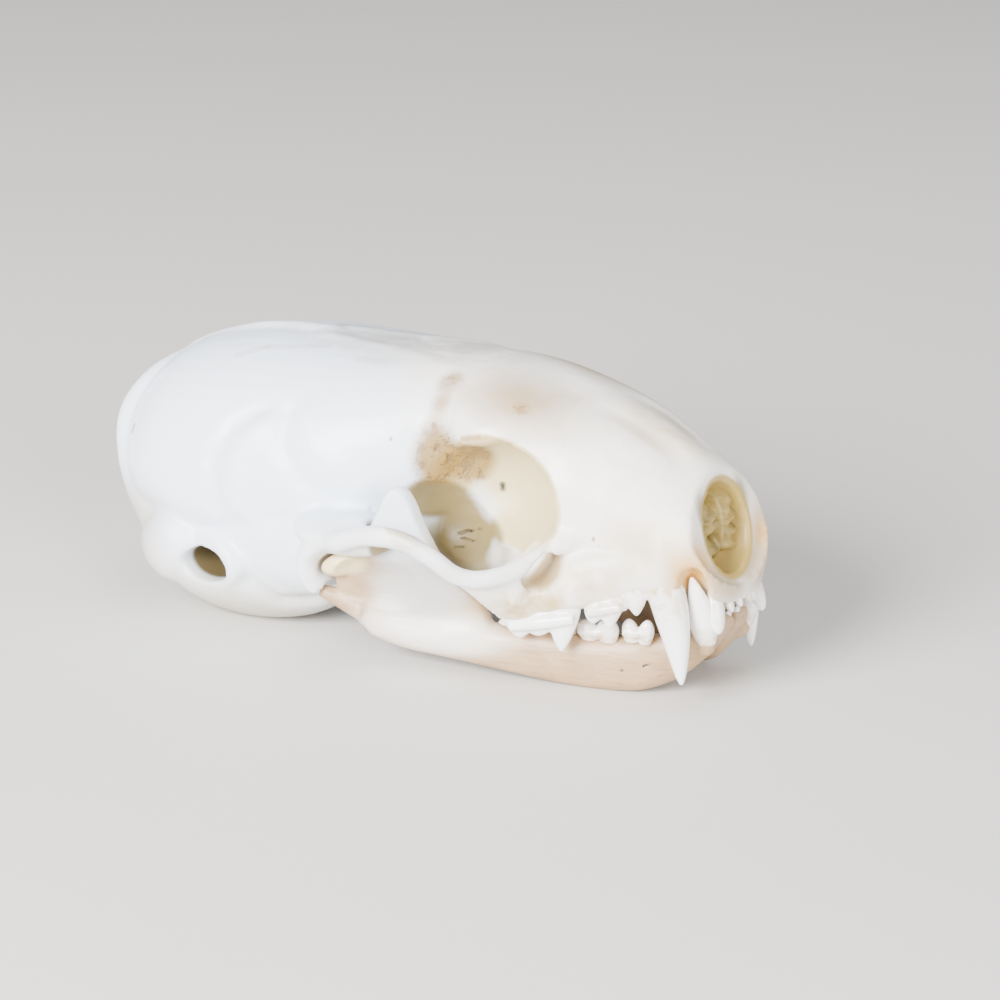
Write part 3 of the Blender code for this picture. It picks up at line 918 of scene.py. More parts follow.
class Effects:
    """The shared shader effects, each a node group."""

    def __init__(self) -> None:
        """Build every group."""
        self.place = self.make_place()
        self.spot = self.make_spot()
        self.line = self.make_line()
        self.grain = self.make_grain()
        self.pores = self.make_pores()

    def make_place(self) -> bpy.types.NodeTree:
        """Build the position in millimetres in the skull's own frame.

        Returns:
            The group, with the position and its copy folded onto the right side.
        """
        outputs = (("Place", "Vector"), ("Folded", "Vector"))
        group, _, end, tree = new_group("skull_place", (), outputs)
        where = tree.add("ShaderNodeTexCoord").outputs["Object"]
        scaled = tree.vector("SCALE", where)
        scaled.node.inputs["Scale"].default_value = 1 / MM
        place = tree.vector("SUBTRACT", scaled, (CENTRE_SHIFT, 0.0, 0.0))
        axes = tree.add("ShaderNodeSeparateXYZ", {0: place})
        right = tree.math("MULTIPLY", tree.math("ABSOLUTE", axes.outputs[1]), -1.0)
        folded = tree.add(
            "ShaderNodeCombineXYZ", {0: axes.outputs[0], 1: right, 2: axes.outputs[2]}
        )
        tree.feed(end.inputs[0], place)
        tree.feed(end.inputs[1], folded.outputs[0])
        return group

    def make_spot(self) -> bpy.types.NodeTree:
        """Build the mask of a soft-edged oval region.

        Returns:
            The group; inner and outer are shares of the radii.
        """
        group, start, end, tree = new_group(
            "spot_mask",
            (
                ("Place", "Vector"),
                ("Centre", "Vector"),
                ("Radii", "Vector"),
                ("Inner", "Float"),
                ("Outer", "Float"),
            ),
            (("Mask", "Float"),),
        )
        offset = tree.vector("SUBTRACT", start.outputs[0], start.outputs[1])
        scaled = tree.vector("DIVIDE", offset, start.outputs[2])
        share = tree.vector("LENGTH", scaled, output="Value")
        fade = tree.add(
            "ShaderNodeMapRange",
            {"Value": share, "From Min": start.outputs[3], "From Max": start.outputs[4]},
            interpolation_type="SMOOTHSTEP",
        )
        tree.feed(end.inputs[0], tree.math("SUBTRACT", 1.0, fade.outputs["Result"]))
        return group

    def make_line(self) -> bpy.types.NodeTree:
        """Build the mask of a thin, slightly wavy mark between two points.

        Returns:
            The group.
        """
        group, start, end, tree = new_group(
            "line_mask",
            (("Place", "Vector"), ("From", "Vector"), ("To", "Vector"), ("Radius", "Float")),
            (("Mask", "Float"),),
        )
        wobble = tree.wander(start.outputs[0], 1.8)
        reach, middle = (LINE_WOBBLE,) * 3, (-LINE_WOBBLE / 2,) * 3
        shift = tree.vector("MULTIPLY_ADD", wobble, reach, middle)
        bent = tree.vector("ADD", start.outputs[0], shift)
        offset = tree.vector("SUBTRACT", bent, start.outputs[1])
        span = tree.vector("SUBTRACT", start.outputs[2], start.outputs[1])
        along = tree.vector("DOT_PRODUCT", offset, span, output="Value")
        whole = tree.vector("DOT_PRODUCT", span, span, output="Value")
        share = tree.add("ShaderNodeClamp", {0: tree.math("DIVIDE", along, whole)}).outputs[0]
        foot = tree.vector("SCALE", span)
        tree.feed(foot.node.inputs["Scale"], share)
        gap = tree.vector("LENGTH", tree.vector("SUBTRACT", offset, foot), output="Value")
        part = tree.math("DIVIDE", gap, start.outputs[3])
        tree.feed(end.inputs[0], tree.ramp(part, 1.0, 0.1))
        return group

    def make_grain(self) -> bpy.types.NodeTree:
        """Build the fine unevenness that all cleaned bone shows.

        Returns:
            The group, with a tone about 0.5, a height in millimetres and the flecks' mask.
        """
        group, start, end, tree = new_group(
            "bone_grain",
            (("Place", "Vector"),),
            (("Tone", "Float"), ("Height", "Float"), ("Flecks", "Float")),
        )
        place = start.outputs[0]
        broad = tree.noise(place, 0.16, 3.0, 0.6)
        middle = tree.noise(place, 0.7, 4.0, 0.4)
        fine = tree.noise(place, 5.0, 3.0)
        tone = tree.math("MULTIPLY_ADD", broad, 0.6, tree.math("MULTIPLY", middle, 0.4))
        height = tree.math("MULTIPLY_ADD", middle, 0.07, tree.math("MULTIPLY", fine, 0.012))
        cells = tree.add("ShaderNodeTexVoronoi", {"Vector": place, "Scale": 1.1})
        fleck = tree.ramp(cells.outputs["Distance"], 0.1, 0.03)
        rare = tree.ramp(tree.noise(place, 0.5, 1.0), 0.52, 0.64)
        flecks = tree.math("MULTIPLY", fleck, rare)
        height = tree.math("MULTIPLY_ADD", flecks, -0.03, height)
        for socket, value in zip(end.inputs, (tone, height, flecks)):
            tree.feed(socket, value)
        return group

    def make_pores(self) -> bpy.types.NodeTree:
        """Build the pitted surface of spongy bone.

        Returns:
            The group, with the pores' mask and their height in millimetres.
        """
        group, start, end, tree = new_group(
            "spongy_pores", (("Place", "Vector"),), (("Mask", "Float"), ("Height", "Float"))
        )
        place = start.outputs[0]
        bent = tree.vector("MULTIPLY_ADD", tree.wander(place, 1.6), (PORE_WOBBLE,) * 3, place)
        small = tree.add("ShaderNodeTexVoronoi", {"Vector": bent, "Scale": 3.4}).outputs["Distance"]
        large = tree.add("ShaderNodeTexVoronoi", {"Vector": bent, "Scale": 1.3}).outputs["Distance"]
        pits = tree.math("MAXIMUM", tree.ramp(small, 0.32, 0.12), tree.ramp(large, 0.34, 0.16))
        worn = tree.ramp(tree.noise(place, 1.2, 3.0), 0.38, 0.6)
        blotches = tree.ramp(tree.noise(place, 1.3, 5.0, 0.8), 0.46, 0.66)
        faint = tree.math("MULTIPLY", blotches, 0.75)
        mask = tree.math("MAXIMUM", tree.math("MULTIPLY", pits, worn), faint)
        tree.feed(end.inputs[0], mask)
        tree.feed(end.inputs[1], tree.math("MULTIPLY", mask, -PIT_DEPTH))
        return group


@dataclass(frozen=True)
class StainOrShade:
    """Soft oval of another colour for stains and painted shade, on both sides unless one-sided."""

    centre: Point
    radii: Point
    colour: Colour
    strength: float
    inner: float = 0.3
    outer: float = 1.0
    patchy: float = 0.0
    one_sided: bool = False


@dataclass(frozen=True)
class Mark:
    """Thin line, band or small hole on the surface."""

    start: Point
    end: Point
    radius: float
    colour: Colour
    strength: float
    depth: float
    one_sided: bool = True


def trace(
    points: Sequence[Point],
    radius: float,
    colour: Colour,
    strength: float,
    depth: float = 0.0,
    one_sided: bool = False,
) -> tuple[Mark, ...]:
    """Return the marks of a line through several points.

    Args:
        points: The points in order.
        radius: Half the line's width.
        colour: Colour of the line.
        strength: How much of the colour is used.
        depth: How deep the line is sunk.
        one_sided: Whether it is on the given side alone.

    Returns:
        One mark for each stretch of the line.
    """
    return tuple(
        Mark(start, end, radius, colour, strength, depth, one_sided)
        for start, end in zip(points, points[1:])
    )


@dataclass(frozen=True)
class BoneFinish:
    """Cleaned bone with its stains, painted shade, pitted patches and marks."""

    name: str
    light: Colour
    dark: Colour
    rough: float
    stains_and_shade: Sequence[StainOrShade] = ()
    pitted: Sequence[StainOrShade] = ()
    pit_colour: Colour = (0.42, 0.22, 0.1)
    marks: Sequence[Mark] = ()
    fleck_colour: Colour = (0.5, 0.42, 0.34)
    streaks: float = 0.0

    def spot(
        self, tree: Tree, effects: Effects, place: object, folded: object, stain_or_shade: StainOrShade
    ) -> bpy.types.NodeSocket:
        """Add the mask of one stain or one region of painted shade.

        Args:
            tree: The material's tree.
            effects: The shared effects.
            place: Socket of the position.
            folded: Socket of the position folded onto the right side.
            stain_or_shade: The stain or painted shade.

        Returns:
            The socket of its mask, with patchiness and strength included.
        """
        where = place if stain_or_shade.one_sided else folded
        region = (stain_or_shade.centre, stain_or_shade.radii, stain_or_shade.inner, stain_or_shade.outer)
        mask = tree.shared(effects.spot, where, *region).outputs[0]
        if stain_or_shade.patchy:
            worn = PATCH_MIDDLE - PATCH_SPREAD / stain_or_shade.patchy
            patches = tree.ramp(tree.noise(place, PATCH_SCALE, 4.0, 0.6), worn, PATCH_FULL)
            mask = tree.math("MULTIPLY", mask, patches)
        return tree.math("MULTIPLY", mask, stain_or_shade.strength)

    def material(self, effects: Effects) -> bpy.types.Material:
        """Build the material.

        Args:
            effects: The shared effects.

        Returns:
            The material.
        """
        material, tree, shader = new_material(self.name)
        place, folded = tree.shared(effects.place).outputs
        grain = tree.shared(effects.grain, place)
        tone = tree.ramp(grain.outputs["Tone"], 0.36, 0.62)
        colour = tree.mix(tone, self.dark, self.light)
        height = grain.outputs["Height"]
        if self.streaks:
            drawn = tree.vector("MULTIPLY", place, STREAK_STRETCH)
            streak = tree.noise(drawn, 1.0, 4.0, 0.5)
            share = tree.math("MULTIPLY", tree.ramp(streak, 0.45, 0.75), 0.3)
            colour = tree.mix(share, colour, self.dark, "MULTIPLY")
            height = tree.math("MULTIPLY_ADD", streak, self.streaks, height)
        # Real stains and painted shade are mixed in here alike.
        for stain_or_shade in self.stains_and_shade:
            mask = self.spot(tree, effects, place, folded, stain_or_shade)
            colour = tree.mix(mask, colour, stain_or_shade.colour)
        rough = tree.math("MULTIPLY_ADD", tone, -0.12, self.rough + 0.06)
        if self.pitted:
            pores = tree.shared(effects.pores, place)
            for stain_or_shade in self.pitted:
                mask = self.spot(tree, effects, place, folded, stain_or_shade)
                colour = tree.mix(mask, colour, stain_or_shade.colour)
                pits = tree.math("MULTIPLY", mask, pores.outputs["Mask"])
                colour = tree.mix(tree.math("MULTIPLY", pits, 0.8), colour, self.pit_colour)
                height = tree.math("MULTIPLY_ADD", mask, pores.outputs["Height"], height)
                rough = tree.math("MULTIPLY_ADD", mask, 0.3, rough)
        flecks = tree.math("MULTIPLY", grain.outputs["Flecks"], 0.45)
        colour = tree.mix(flecks, colour, self.fleck_colour)
        for mark in self.marks:
            where = place if mark.one_sided else folded
            line = tree.shared(effects.line, where, mark.start, mark.end, mark.radius).outputs[0]
            share = tree.math("MULTIPLY", line, mark.strength)
            colour = tree.mix(share, colour, mark.colour)
            height = tree.math("MULTIPLY_ADD", line, -mark.depth, height)
        set_surface(tree, shader, colour, rough, height, BONE_SHEEN)
        return material


@dataclass(frozen=True)
class EnamelFinish:
    """Glossy tooth enamel, warmer at the gum and clearer at the tip."""

    name: str
    light: Colour
    gum: Colour
    gum_level: tuple[float, float]
    rough: float

    def material(self, effects: Effects) -> bpy.types.Material:
        """Build the material.

        Args:
            effects: The shared effects.

        Returns:
            The material.
        """
        material, tree, shader = new_material(self.name)
        place = tree.shared(effects.place).outputs[0]
        height_above = tree.add("ShaderNodeSeparateXYZ", {0: place}).outputs[2]
        near_gum = tree.ramp(height_above, *self.gum_level)
        patches = tree.ramp(tree.noise(place, 1.4, 3.0, 0.5), 0.42, 0.66)
        share = tree.math("MULTIPLY", tree.math("MULTIPLY_ADD", patches, 0.7, 0.3), near_gum)
        colour = tree.mix(share, self.light, self.gum)
        drawn = tree.vector("MULTIPLY", place, ENAMEL_STRETCH)
        lines = tree.noise(drawn, 1.0, 3.0)
        fine = tree.noise(place, 3.0, 3.0)
        faint = tree.math("MULTIPLY", tree.ramp(lines, 0.5, 0.75), 0.12)
        colour = tree.mix(faint, colour, self.gum)
        rough = tree.math("MULTIPLY_ADD", fine, 0.16, self.rough)
        height = tree.math("MULTIPLY_ADD", lines, 0.012, tree.math("MULTIPLY", fine, 0.03))
        set_surface(tree, shader, colour, rough, height, ENAMEL_SHEEN)
        return material


@dataclass
class Piece:
    """A finished piece and what it stands for."""

    item: bpy.types.Object
    material: bpy.types.Material
    node: str
    slot: str

    def fit(self, low: Vector, high: Vector) -> None:
        """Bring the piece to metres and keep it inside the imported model's box.

        Args:
            low: Lowest corner of the box.
            high: Highest corner of the box.
        """
        mesh = self.item.data
        mesh.transform(Matrix.Scale(MM, 4) @ Matrix.Translation((CENTRE_SHIFT, 0, 0)))
        places = np.clip(read_places(mesh), np.array(low), np.array(high))
        mesh.vertices.foreach_set("co", places.ravel())
        mesh.materials.clear()
        mesh.materials.append(self.material)
        mesh.shade_smooth()
        mesh.update()

    def hand_over(self) -> None:
        """Put the piece on its body and hide the imported part that it stands for."""
        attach(self.item, BODY)
        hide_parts(self.node)
        mesh = self.item.data
        LOG.info("%s: %d faces for %s", self.item.name, len(mesh.polygons), self.node)


@dataclass
class LowerJaw:
    """One lower jaw bone with its teeth."""

    side: Side
    voxel: float = 0.14
    smoothing: int = 6
    body_steps: int = 44
    gum_steps: int = 12
    body: Sequence[JawSection] = (
        JawSection(20.3, -0.8, 0.7, 5.0, 4.1, 2.2),
        JawSection(19.9, -0.95, 0.95, 5.1, 3.4, 2.4),
        JawSection(19.2, -1.3, 1.2, 4.8, 2.4, 2.3),
        JawSection(18.3, -1.8, 1.25, 4.2, 1.4, 2.3),
        JawSection(17.3, -2.35, 1.2, 3.8, 0.65, 2.3),
        JawSection(15.8, -3.2, 1.15, 3.6, 0.1, 2.3),
        JawSection(13.6, -4.0, 1.05, 3.3, -0.05, 2.3),
        JawSection(11.0, -4.9, 1.05, 3.3, 0.1, 2.3),
        JawSection(8.0, -5.9, 1.0, 3.2, 0.45, 2.3),
        JawSection(5.0, -6.8, 0.9, 3.8, 0.75, 2.3),
        JawSection(2.0, -7.6, 0.8, 4.0, 1.0, 2.3),
        JawSection(0.0, -8.2, 0.6, 3.8, 1.5, 2.0),
    )
    ramus: Sequence[tuple[float, float]] = (
        (7.4, 3.0), (6.7, 4.6), (5.3, 5.8), (4.3, 6.9), (3.65, 8.1), (3.1, 9.4), (2.7, 10.5),
        (2.3, 11.2), (1.8, 11.4), (1.3, 11.0), (0.7, 9.8), (-0.1, 8.2), (-1.0, 7.0), (-2.0, 6.1),
        (-2.2, 5.2), (-2.0, 4.3), (-1.2, 3.0), (-0.4, 2.1), (0.8, 1.45), (5.0, 1.5),
    )
    ramus_half_thickness: float = 0.56
    ramus_layers: Sequence[tuple[float, float]] = (
        (-1.0, 0.92), (-0.75, 0.98), (0.0, 1.0), (0.75, 0.98), (1.0, 0.92),
    )
    ramus_front: float = 8.0
    ramus_front_y: float = -6.1
    ramus_length: float = 8.5
    ramus_spread: float = 2.3
    ramus_lean: float = 0.09
    ramus_lean_from: float = 5.0
    outline_fineness: int = 4
    joint: Bar = Bar((-1.5, -10.0, 6.1), (-1.5, -6.8, 5.9), 0.7, 0.8)
    angle: Bar = Bar((-0.4, -8.5, 3.2), (-3.1, -9.3, 4.1), 0.8, 0.4)
    fossa: Ball = Ball((2.6, -10.9, 5.0), (4.3, 3.0, 3.0))
    canine_root: Ball = Ball((19.25, -1.95, 3.45), (0.85, 0.62, 0.85))
    condyle: Ball = Ball((-1.4, -9.6, 6.15), (1.45, 0.85, 0.7), 0.0, -24.0)
    symphysis_half_gap: float = 0.15
    reliefs: Sequence[Relief] = (
        Relief(((6.9, -7.3, 3.2), (4.5, -8.0, 2.3), (1.5, -8.9, 2.2)), 0.5, 0.12),
        Relief(((6.0, -7.3, 5.0), (4.1, -7.9, 7.2), (2.8, -8.5, 9.6)), 0.35, 0.1),
        Relief(((18.6, -2.6, 2.4), (16.6, -3.9, 1.4), (13.0, -5.0, 1.3)), 0.5, -0.06),
    )
    teeth: Sequence[Lobe] = (
        Lobe((19.8, -0.5, 3.8), (20.1, -0.5, 5.3), 0.28, 0.26, 80.0, PEG),
        Lobe((19.6, -1.15, 3.8), (19.9, -1.15, 5.35), 0.3, 0.28, 70.0, PEG),
        Lobe((19.6, -2.2, 3.5), (19.15, -3.35, 7.95), 0.92, 0.64, 20.0, FANG, 0.16),
        Lobe((17.5, -2.9, 3.0), (17.6, -2.95, 4.5), 0.45, 0.4, 15.0, BLADE),
        Lobe((16.4, -3.8, 3.3), (16.65, -3.95, 4.9), 0.5, 0.42, 14.0, BLADE),
        Lobe((15.6, -4.0, 3.3), (15.5, -4.15, 4.8), 0.52, 0.44, 14.0, BLADE),
        Lobe((14.2, -4.35, 3.1), (14.3, -4.6, 4.7), 0.7, 0.48, 16.0, BLADE),
        Lobe((13.1, -4.65, 3.1), (12.95, -4.8, 4.4), 0.68, 0.48, 16.0, BLADE),
        Lobe((11.4, -4.7, 2.4), (11.5, -4.55, 4.9), 0.85, 0.5, 16.0, BLADE),
        Lobe((10.2, -4.9, 2.4), (10.2, -4.8, 4.6), 1.0, 0.5, 16.0, BLADE),
        Lobe((7.7, -5.5, 2.6), (7.7, -5.4, 3.5), 0.5, 0.45, 16.0, PEG),
    )
    gum_bars: Sequence[Sequence[Strap]] = (
        (
            Strap(16.9, -3.95, 4.2, 0.25, 0.25),
            Strap(16.0, -4.2, 4.0, 0.3, 0.3),
            Strap(15.25, -4.4, 4.0, 0.25, 0.25),
        ),
        (
            Strap(14.7, -4.55, 3.9, 0.25, 0.25),
            Strap(13.7, -4.85, 3.75, 0.3, 0.3),
            Strap(12.6, -5.1, 3.7, 0.25, 0.25),
        ),
    )

    def ramus_y(self, x: float, z: float) -> float:
        """Return how far out the middle of the rear plate lies.

        Args:
            x: Place along the skull.
            z: Height.

        Returns:
            The place across the skull.
        """
        outward = self.ramus_spread * (self.ramus_front - x) / self.ramus_length
        lean = self.ramus_lean * max(z - self.ramus_lean_from, 0.0)
        return self.ramus_front_y - outward - lean

    def make_ramus(self) -> bpy.types.Object:
        """Build the rear plate from its outline.

        Returns:
            The plate.
        """
        closed = [*self.ramus, self.ramus[0]]
        outline = smooth_rows(closed, self.outline_fineness * len(closed))[:-1]
        middle_x = sum(x for x, _ in outline) / len(outline)
        middle_z = sum(z for _, z in outline) / len(outline)
        rings = []
        for shift, inset in self.ramus_layers:
            points = []
            for x, z in outline:
                inner_x = middle_x + (x - middle_x) * inset
                inner_z = middle_z + (z - middle_z) * inset
                y = self.ramus_y(inner_x, inner_z) + shift * self.ramus_half_thickness
                points.append(Vector((inner_x, y, inner_z)))
            rings.append(points)
        return loft("ramus", rings)

    def make_bone(self) -> bpy.types.Object:
        """Build the bone on the right side.

        Returns:
            The bone.
        """
        bone = jaw_loft("jaw_bone", self.body, self.body_steps)
        parts = [self.make_ramus(), bar("joint", self.joint), bar("angle", self.angle)]
        parts += [ball("canine_root", self.canine_root), ball("condyle", self.condyle)]
        combine(bone, parts, Action.JOIN)
        combine(bone, [ball("fossa", self.fossa, fineness=FINE_CORNERS)], Action.CUT)
        soften(bone, self.voxel, self.smoothing)
        keep_largest(bone)
        carve(bone, self.reliefs, (Side.RIGHT,))
        clip(bone, (0, -self.symphysis_half_gap, 0), (0, 1, 0))
        clip(bone, (0, 0, 0), (0, 0, -1))
        return bone

    def build(self) -> tuple[bpy.types.Object, bpy.types.Object]:
        """Build the bone and its teeth on their own side.

        Returns:
            The bone and the teeth.
        """
        bone = self.make_bone()
        teeth = tooth_row(self.teeth, self.gum_bars, self.gum_steps, (Side.RIGHT,))
        made = (bone, teeth)
        for item, name in zip(made, ("bone", "teeth")):
            item.name = item.data.name = f"{self.side.name.lower()}_jaw_{name}"
            if self.side is Side.LEFT:
                item.data.transform(Matrix.Scale(-1, 4, MIRROR_Y))
                item.data.flip_normals()
        return made


@dataclass
class Cranium:
    """Braincase, face, cheek arches and ear capsules in one bone."""

    voxel: float = 0.2
    smoothing: int = 5
    gap: float = 0.3
    core_steps: int = 44
    maxilla_steps: int = 36
    pterygoid_steps: int = 14
    palate_steps: int = 22
    crest_steps: int = 30
    arch_steps: int = 48
    socket_steps: int = 20
    braincase: Sequence[Section] = (
        Section(-21.8, 2.6, 11.2, 6.6, 8.8, 2.0, 2.0),
        Section(-21.0, 5.2, 13.1, 5.2, 8.6, 2.0, 2.0),
        Section(-19.4, 7.2, 14.6, 4.2, 8.2, 2.1, 2.0),
        Section(-17.0, 8.6, 15.8, 3.7, 8.0, 2.2, 2.2),
        Section(-13.0, 9.4, 16.8, 3.6, 8.4, 2.2, 2.4),
        Section(-9.0, 9.4, 17.2, 3.8, 9.0, 2.2, 2.4),
        Section(-5.0, 8.9, 17.35, 4.2, 10.0, 2.2, 2.2),
        Section(-2.0, 7.9, 17.55, 4.8, 11.0, 2.2, 1.9),
        Section(0.5, 6.8, 17.7, 5.6, 12.0, 2.2, 1.8),
        Section(2.5, 5.9, 17.75, 7.0, 12.8, 2.2, 1.8),
        Section(4.5, 4.6, 17.6, 9.0, 13.4, 2.2, 2.0),
    )
    face: Sequence[Section] = (
        Section(-1.0, 4.0, 17.2, 6.2, 12.5, 2.2, 2.0),
        Section(3.0, 5.1, 17.8, 6.0, 13.2, 2.3, 2.2),
        Section(6.0, 5.8, 17.7, 5.8, 13.0, 2.3, 2.4),
        Section(9.0, 6.1, 17.2, 5.9, 12.0, 2.3, 2.4),
        Section(11.5, 6.3, 16.65, 6.1, 11.0, 2.2, 2.4),
        Section(13.5, 5.8, 16.05, 6.4, 10.4, 2.2, 2.4),
        Section(15.5, 5.3, 15.25, 6.8, 9.8, 2.1, 2.4),
        Section(17.2, 4.9, 14.4, 7.0, 9.4, 2.0, 2.4),
        Section(18.5, 4.65, 13.5, 7.0, 9.2, 2.0, 2.3),
        Section(19.5, 4.3, 12.6, 6.9, 9.1, 2.0, 2.3),
        Section(20.2, 3.7, 11.0, 6.8, 8.4, 2.0, 2.4),
        Section(20.7, 2.7, 9.0, 6.6, 7.6, 2.0, 2.2),
        Section(21.0, 1.5, 7.6, 6.6, 7.1, 2.0, 2.0),
    )
    maxilla: Sequence[Section] = (
        Section(6.9, 6.4, 6.2, 4.6, 5.4, 2.0, 3.6),
        Section(7.6, 7.2, 7.6, 4.0, 5.4, 2.0, 4.0),
        Section(8.8, 7.5, 8.8, 3.9, 5.6, 1.9, 5.0),
        Section(11.2, 7.3, 10.4, 4.6, 6.1, 1.7, 5.0),
        Section(13.2, 6.8, 11.4, 5.2, 6.8, 1.7, 5.0),
        Section(15.0, 6.0, 11.8, 5.8, 7.4, 1.8, 4.4),
        Section(16.6, 5.3, 12.0, 6.2, 7.9, 1.9, 3.6),
        Section(18.0, 5.1, 11.2, 6.4, 8.0, 2.0, 2.6),
        Section(19.3, 4.2, 10.0, 6.4, 7.7, 2.0, 2.6),
        Section(20.3, 3.2, 8.6, 6.05, 7.2, 2.0, 2.6),
        Section(20.9, 1.9, 7.4, 5.95, 6.8, 2.0, 2.2),
    )
    pterygoid: Sequence[Section] = (
        Section(-3.5, 2.4, 8.0, 4.6, 6.2, 2.4, 2.4),
        Section(-1.0, 2.8, 9.5, 4.4, 6.6, 2.4, 2.8),
        Section(3.0, 3.1, 10.5, 4.5, 7.0, 2.4, 2.8),
        Section(7.5, 4.0, 10.0, 4.9, 7.4, 2.4, 2.8),
    )
    palate: Sequence[Section] = (
        Section(4.6, 3.4, 5.4, 1.5, 3.0, 4.0, 3.0),
        Section(8.0, 5.3, 5.6, 1.5, 3.0, 4.0, 3.0),
        Section(11.0, 5.4, 6.1, 1.5, 3.0, 4.0, 3.0),
        Section(13.5, 4.9, 6.8, 1.5, 3.0, 4.0, 3.0),
        Section(16.0, 3.9, 7.4, 1.5, 3.0, 4.0, 3.0),
        Section(18.0, 2.9, 6.9, 1.5, 3.0, 3.0, 3.0),
        Section(19.4, 1.9, 6.6, 1.5, 3.0, 3.0, 3.0),
    )
    swellings: Sequence[Ball] = (
        Ball((-10.6, -5.5, 3.2), (6.7, 3.7, 3.3), 10.0),
        Ball((-15.2, -7.5, 4.1), (2.8, 2.1, 2.6)),
        Ball((-8.2, -6.5, 6.4), (6.6, 2.6, 4.4)),
        Ball((4.2, -3.0, 6.4), (4.6, 1.8, 2.6)),
        Ball((17.5, -3.9, 8.6), (1.5, 1.3, 2.4)),
        Ball((-21.6, -2.5, 5.9), (1.2, 1.5, 1.5)),
    )
    ear_tube: Bar = Bar((-11.2, -6.5, 4.2), (-11.9, -9.0, 3.9), 2.6, 1.7, 1.4)
    ear_hole: Bar = Bar((-12.5, -11.5, 3.5), (-11.5, -6.2, 4.0), 1.05, 1.0, 1.75)
    crest: Sequence[Strap] = (
        Strap(-19.35, 0.0, 13.2, 1.35, 1.35),
        Strap(-20.4, -2.5, 12.3, 1.35, 1.35),
        Strap(-21.05, -4.2, 10.5, 1.35, 1.35),
        Strap(-20.4, -5.2, 8.5, 1.35, 1.35),
        Strap(-19.0, -6.3, 6.9, 1.3, 1.3),
        Strap(-17.3, -7.2, 5.4, 1.25, 1.25),
        Strap(-15.9, -7.8, 4.2, 1.2, 1.2),
    )
    cheek_arch: Sequence[Strap] = (
        Strap(12.5, -5.5, 9.8, 0.8, 0.8),
        Strap(11.7, -6.5, 9.2, 0.55, 0.65),
        Strap(11.0, -7.35, 8.55, 0.5, 0.6),
        Strap(10.3, -8.2, 7.95, 0.5, 0.58),
        Strap(9.4, -9.0, 7.5, 0.5, 0.58),
        Strap(8.3, -9.7, 7.25, 0.5, 0.58),
        Strap(7.2, -10.4, 7.6, 0.5, 0.58),
        Strap(6.1, -10.95, 8.5, 0.5, 0.6),
        Strap(4.0, -11.3, 9.25, 0.5, 0.65),
        Strap(1.6, -11.4, 9.05, 0.5, 0.65),
        Strap(-0.4, -11.1, 8.2, 0.6, 0.65),
        Strap(-1.8, -10.1, 7.75, 1.0, 0.65),
        Strap(-4.2, -7.9, 7.3, 1.5, 0.7),
    )
    cheek_root: Lobe = Lobe((8.3, -9.3, 7.5), (10.2, -6.9, 4.4), 2.3, 0.5, 28.0, PLATE)
    socket: Sequence[Strap] = (
        Strap(-0.4, -9.3, 8.05, 1.9, 0.5),
        Strap(-2.1, -9.3, 7.6, 1.9, 0.8),
        Strap(-3.3, -9.2, 6.5, 1.9, 0.95),
        Strap(-3.4, -9.0, 5.1, 1.8, 0.9),
        Strap(-2.9, -8.8, 4.1, 1.5, 0.6),
    )
    joint_roof: Ball = Ball((-1.6, -8.7, 7.9), (3.6, 2.6, 1.2))
    orbit: Ball = Ball((7.0, -8.1, 11.0), (5.0, 5.2, 4.0))
    orbit_rear: Ball = Ball((4.1, -7.6, 8.6), (3.9, 4.0, 3.4))
    notch: Ball = Ball((19.6, -4.0, 6.8), (0.85, 1.3, 2.0))
    cheek_hole: Bar = Bar((13.2, -8.6, 7.4), (8.9, -5.3, 8.0), 1.35, 1.3, 0.62, 27.0)
    orbit_hole: Bar = Bar((6.4, -4.2, 10.8), (5.2, -2.2, 10.6), 0.22, 0.22)
    nose: Ball = Ball((19.55, 0.0, 10.15), (2.9, 2.3, 2.75), 0.0, -14.0)
    nose_face: Bar = Bar((19.25, 0.0, 10.9), (25.0, 0.0, 12.6), 4.2, 4.2)
    choana: Ball = Ball((1.0, 0.0, 4.9), (5.5, 1.5, 2.6))
    foramen_magnum: Ball = Ball((-23.2, 0.0, 8.0), (2.2, 2.4, 2.0))
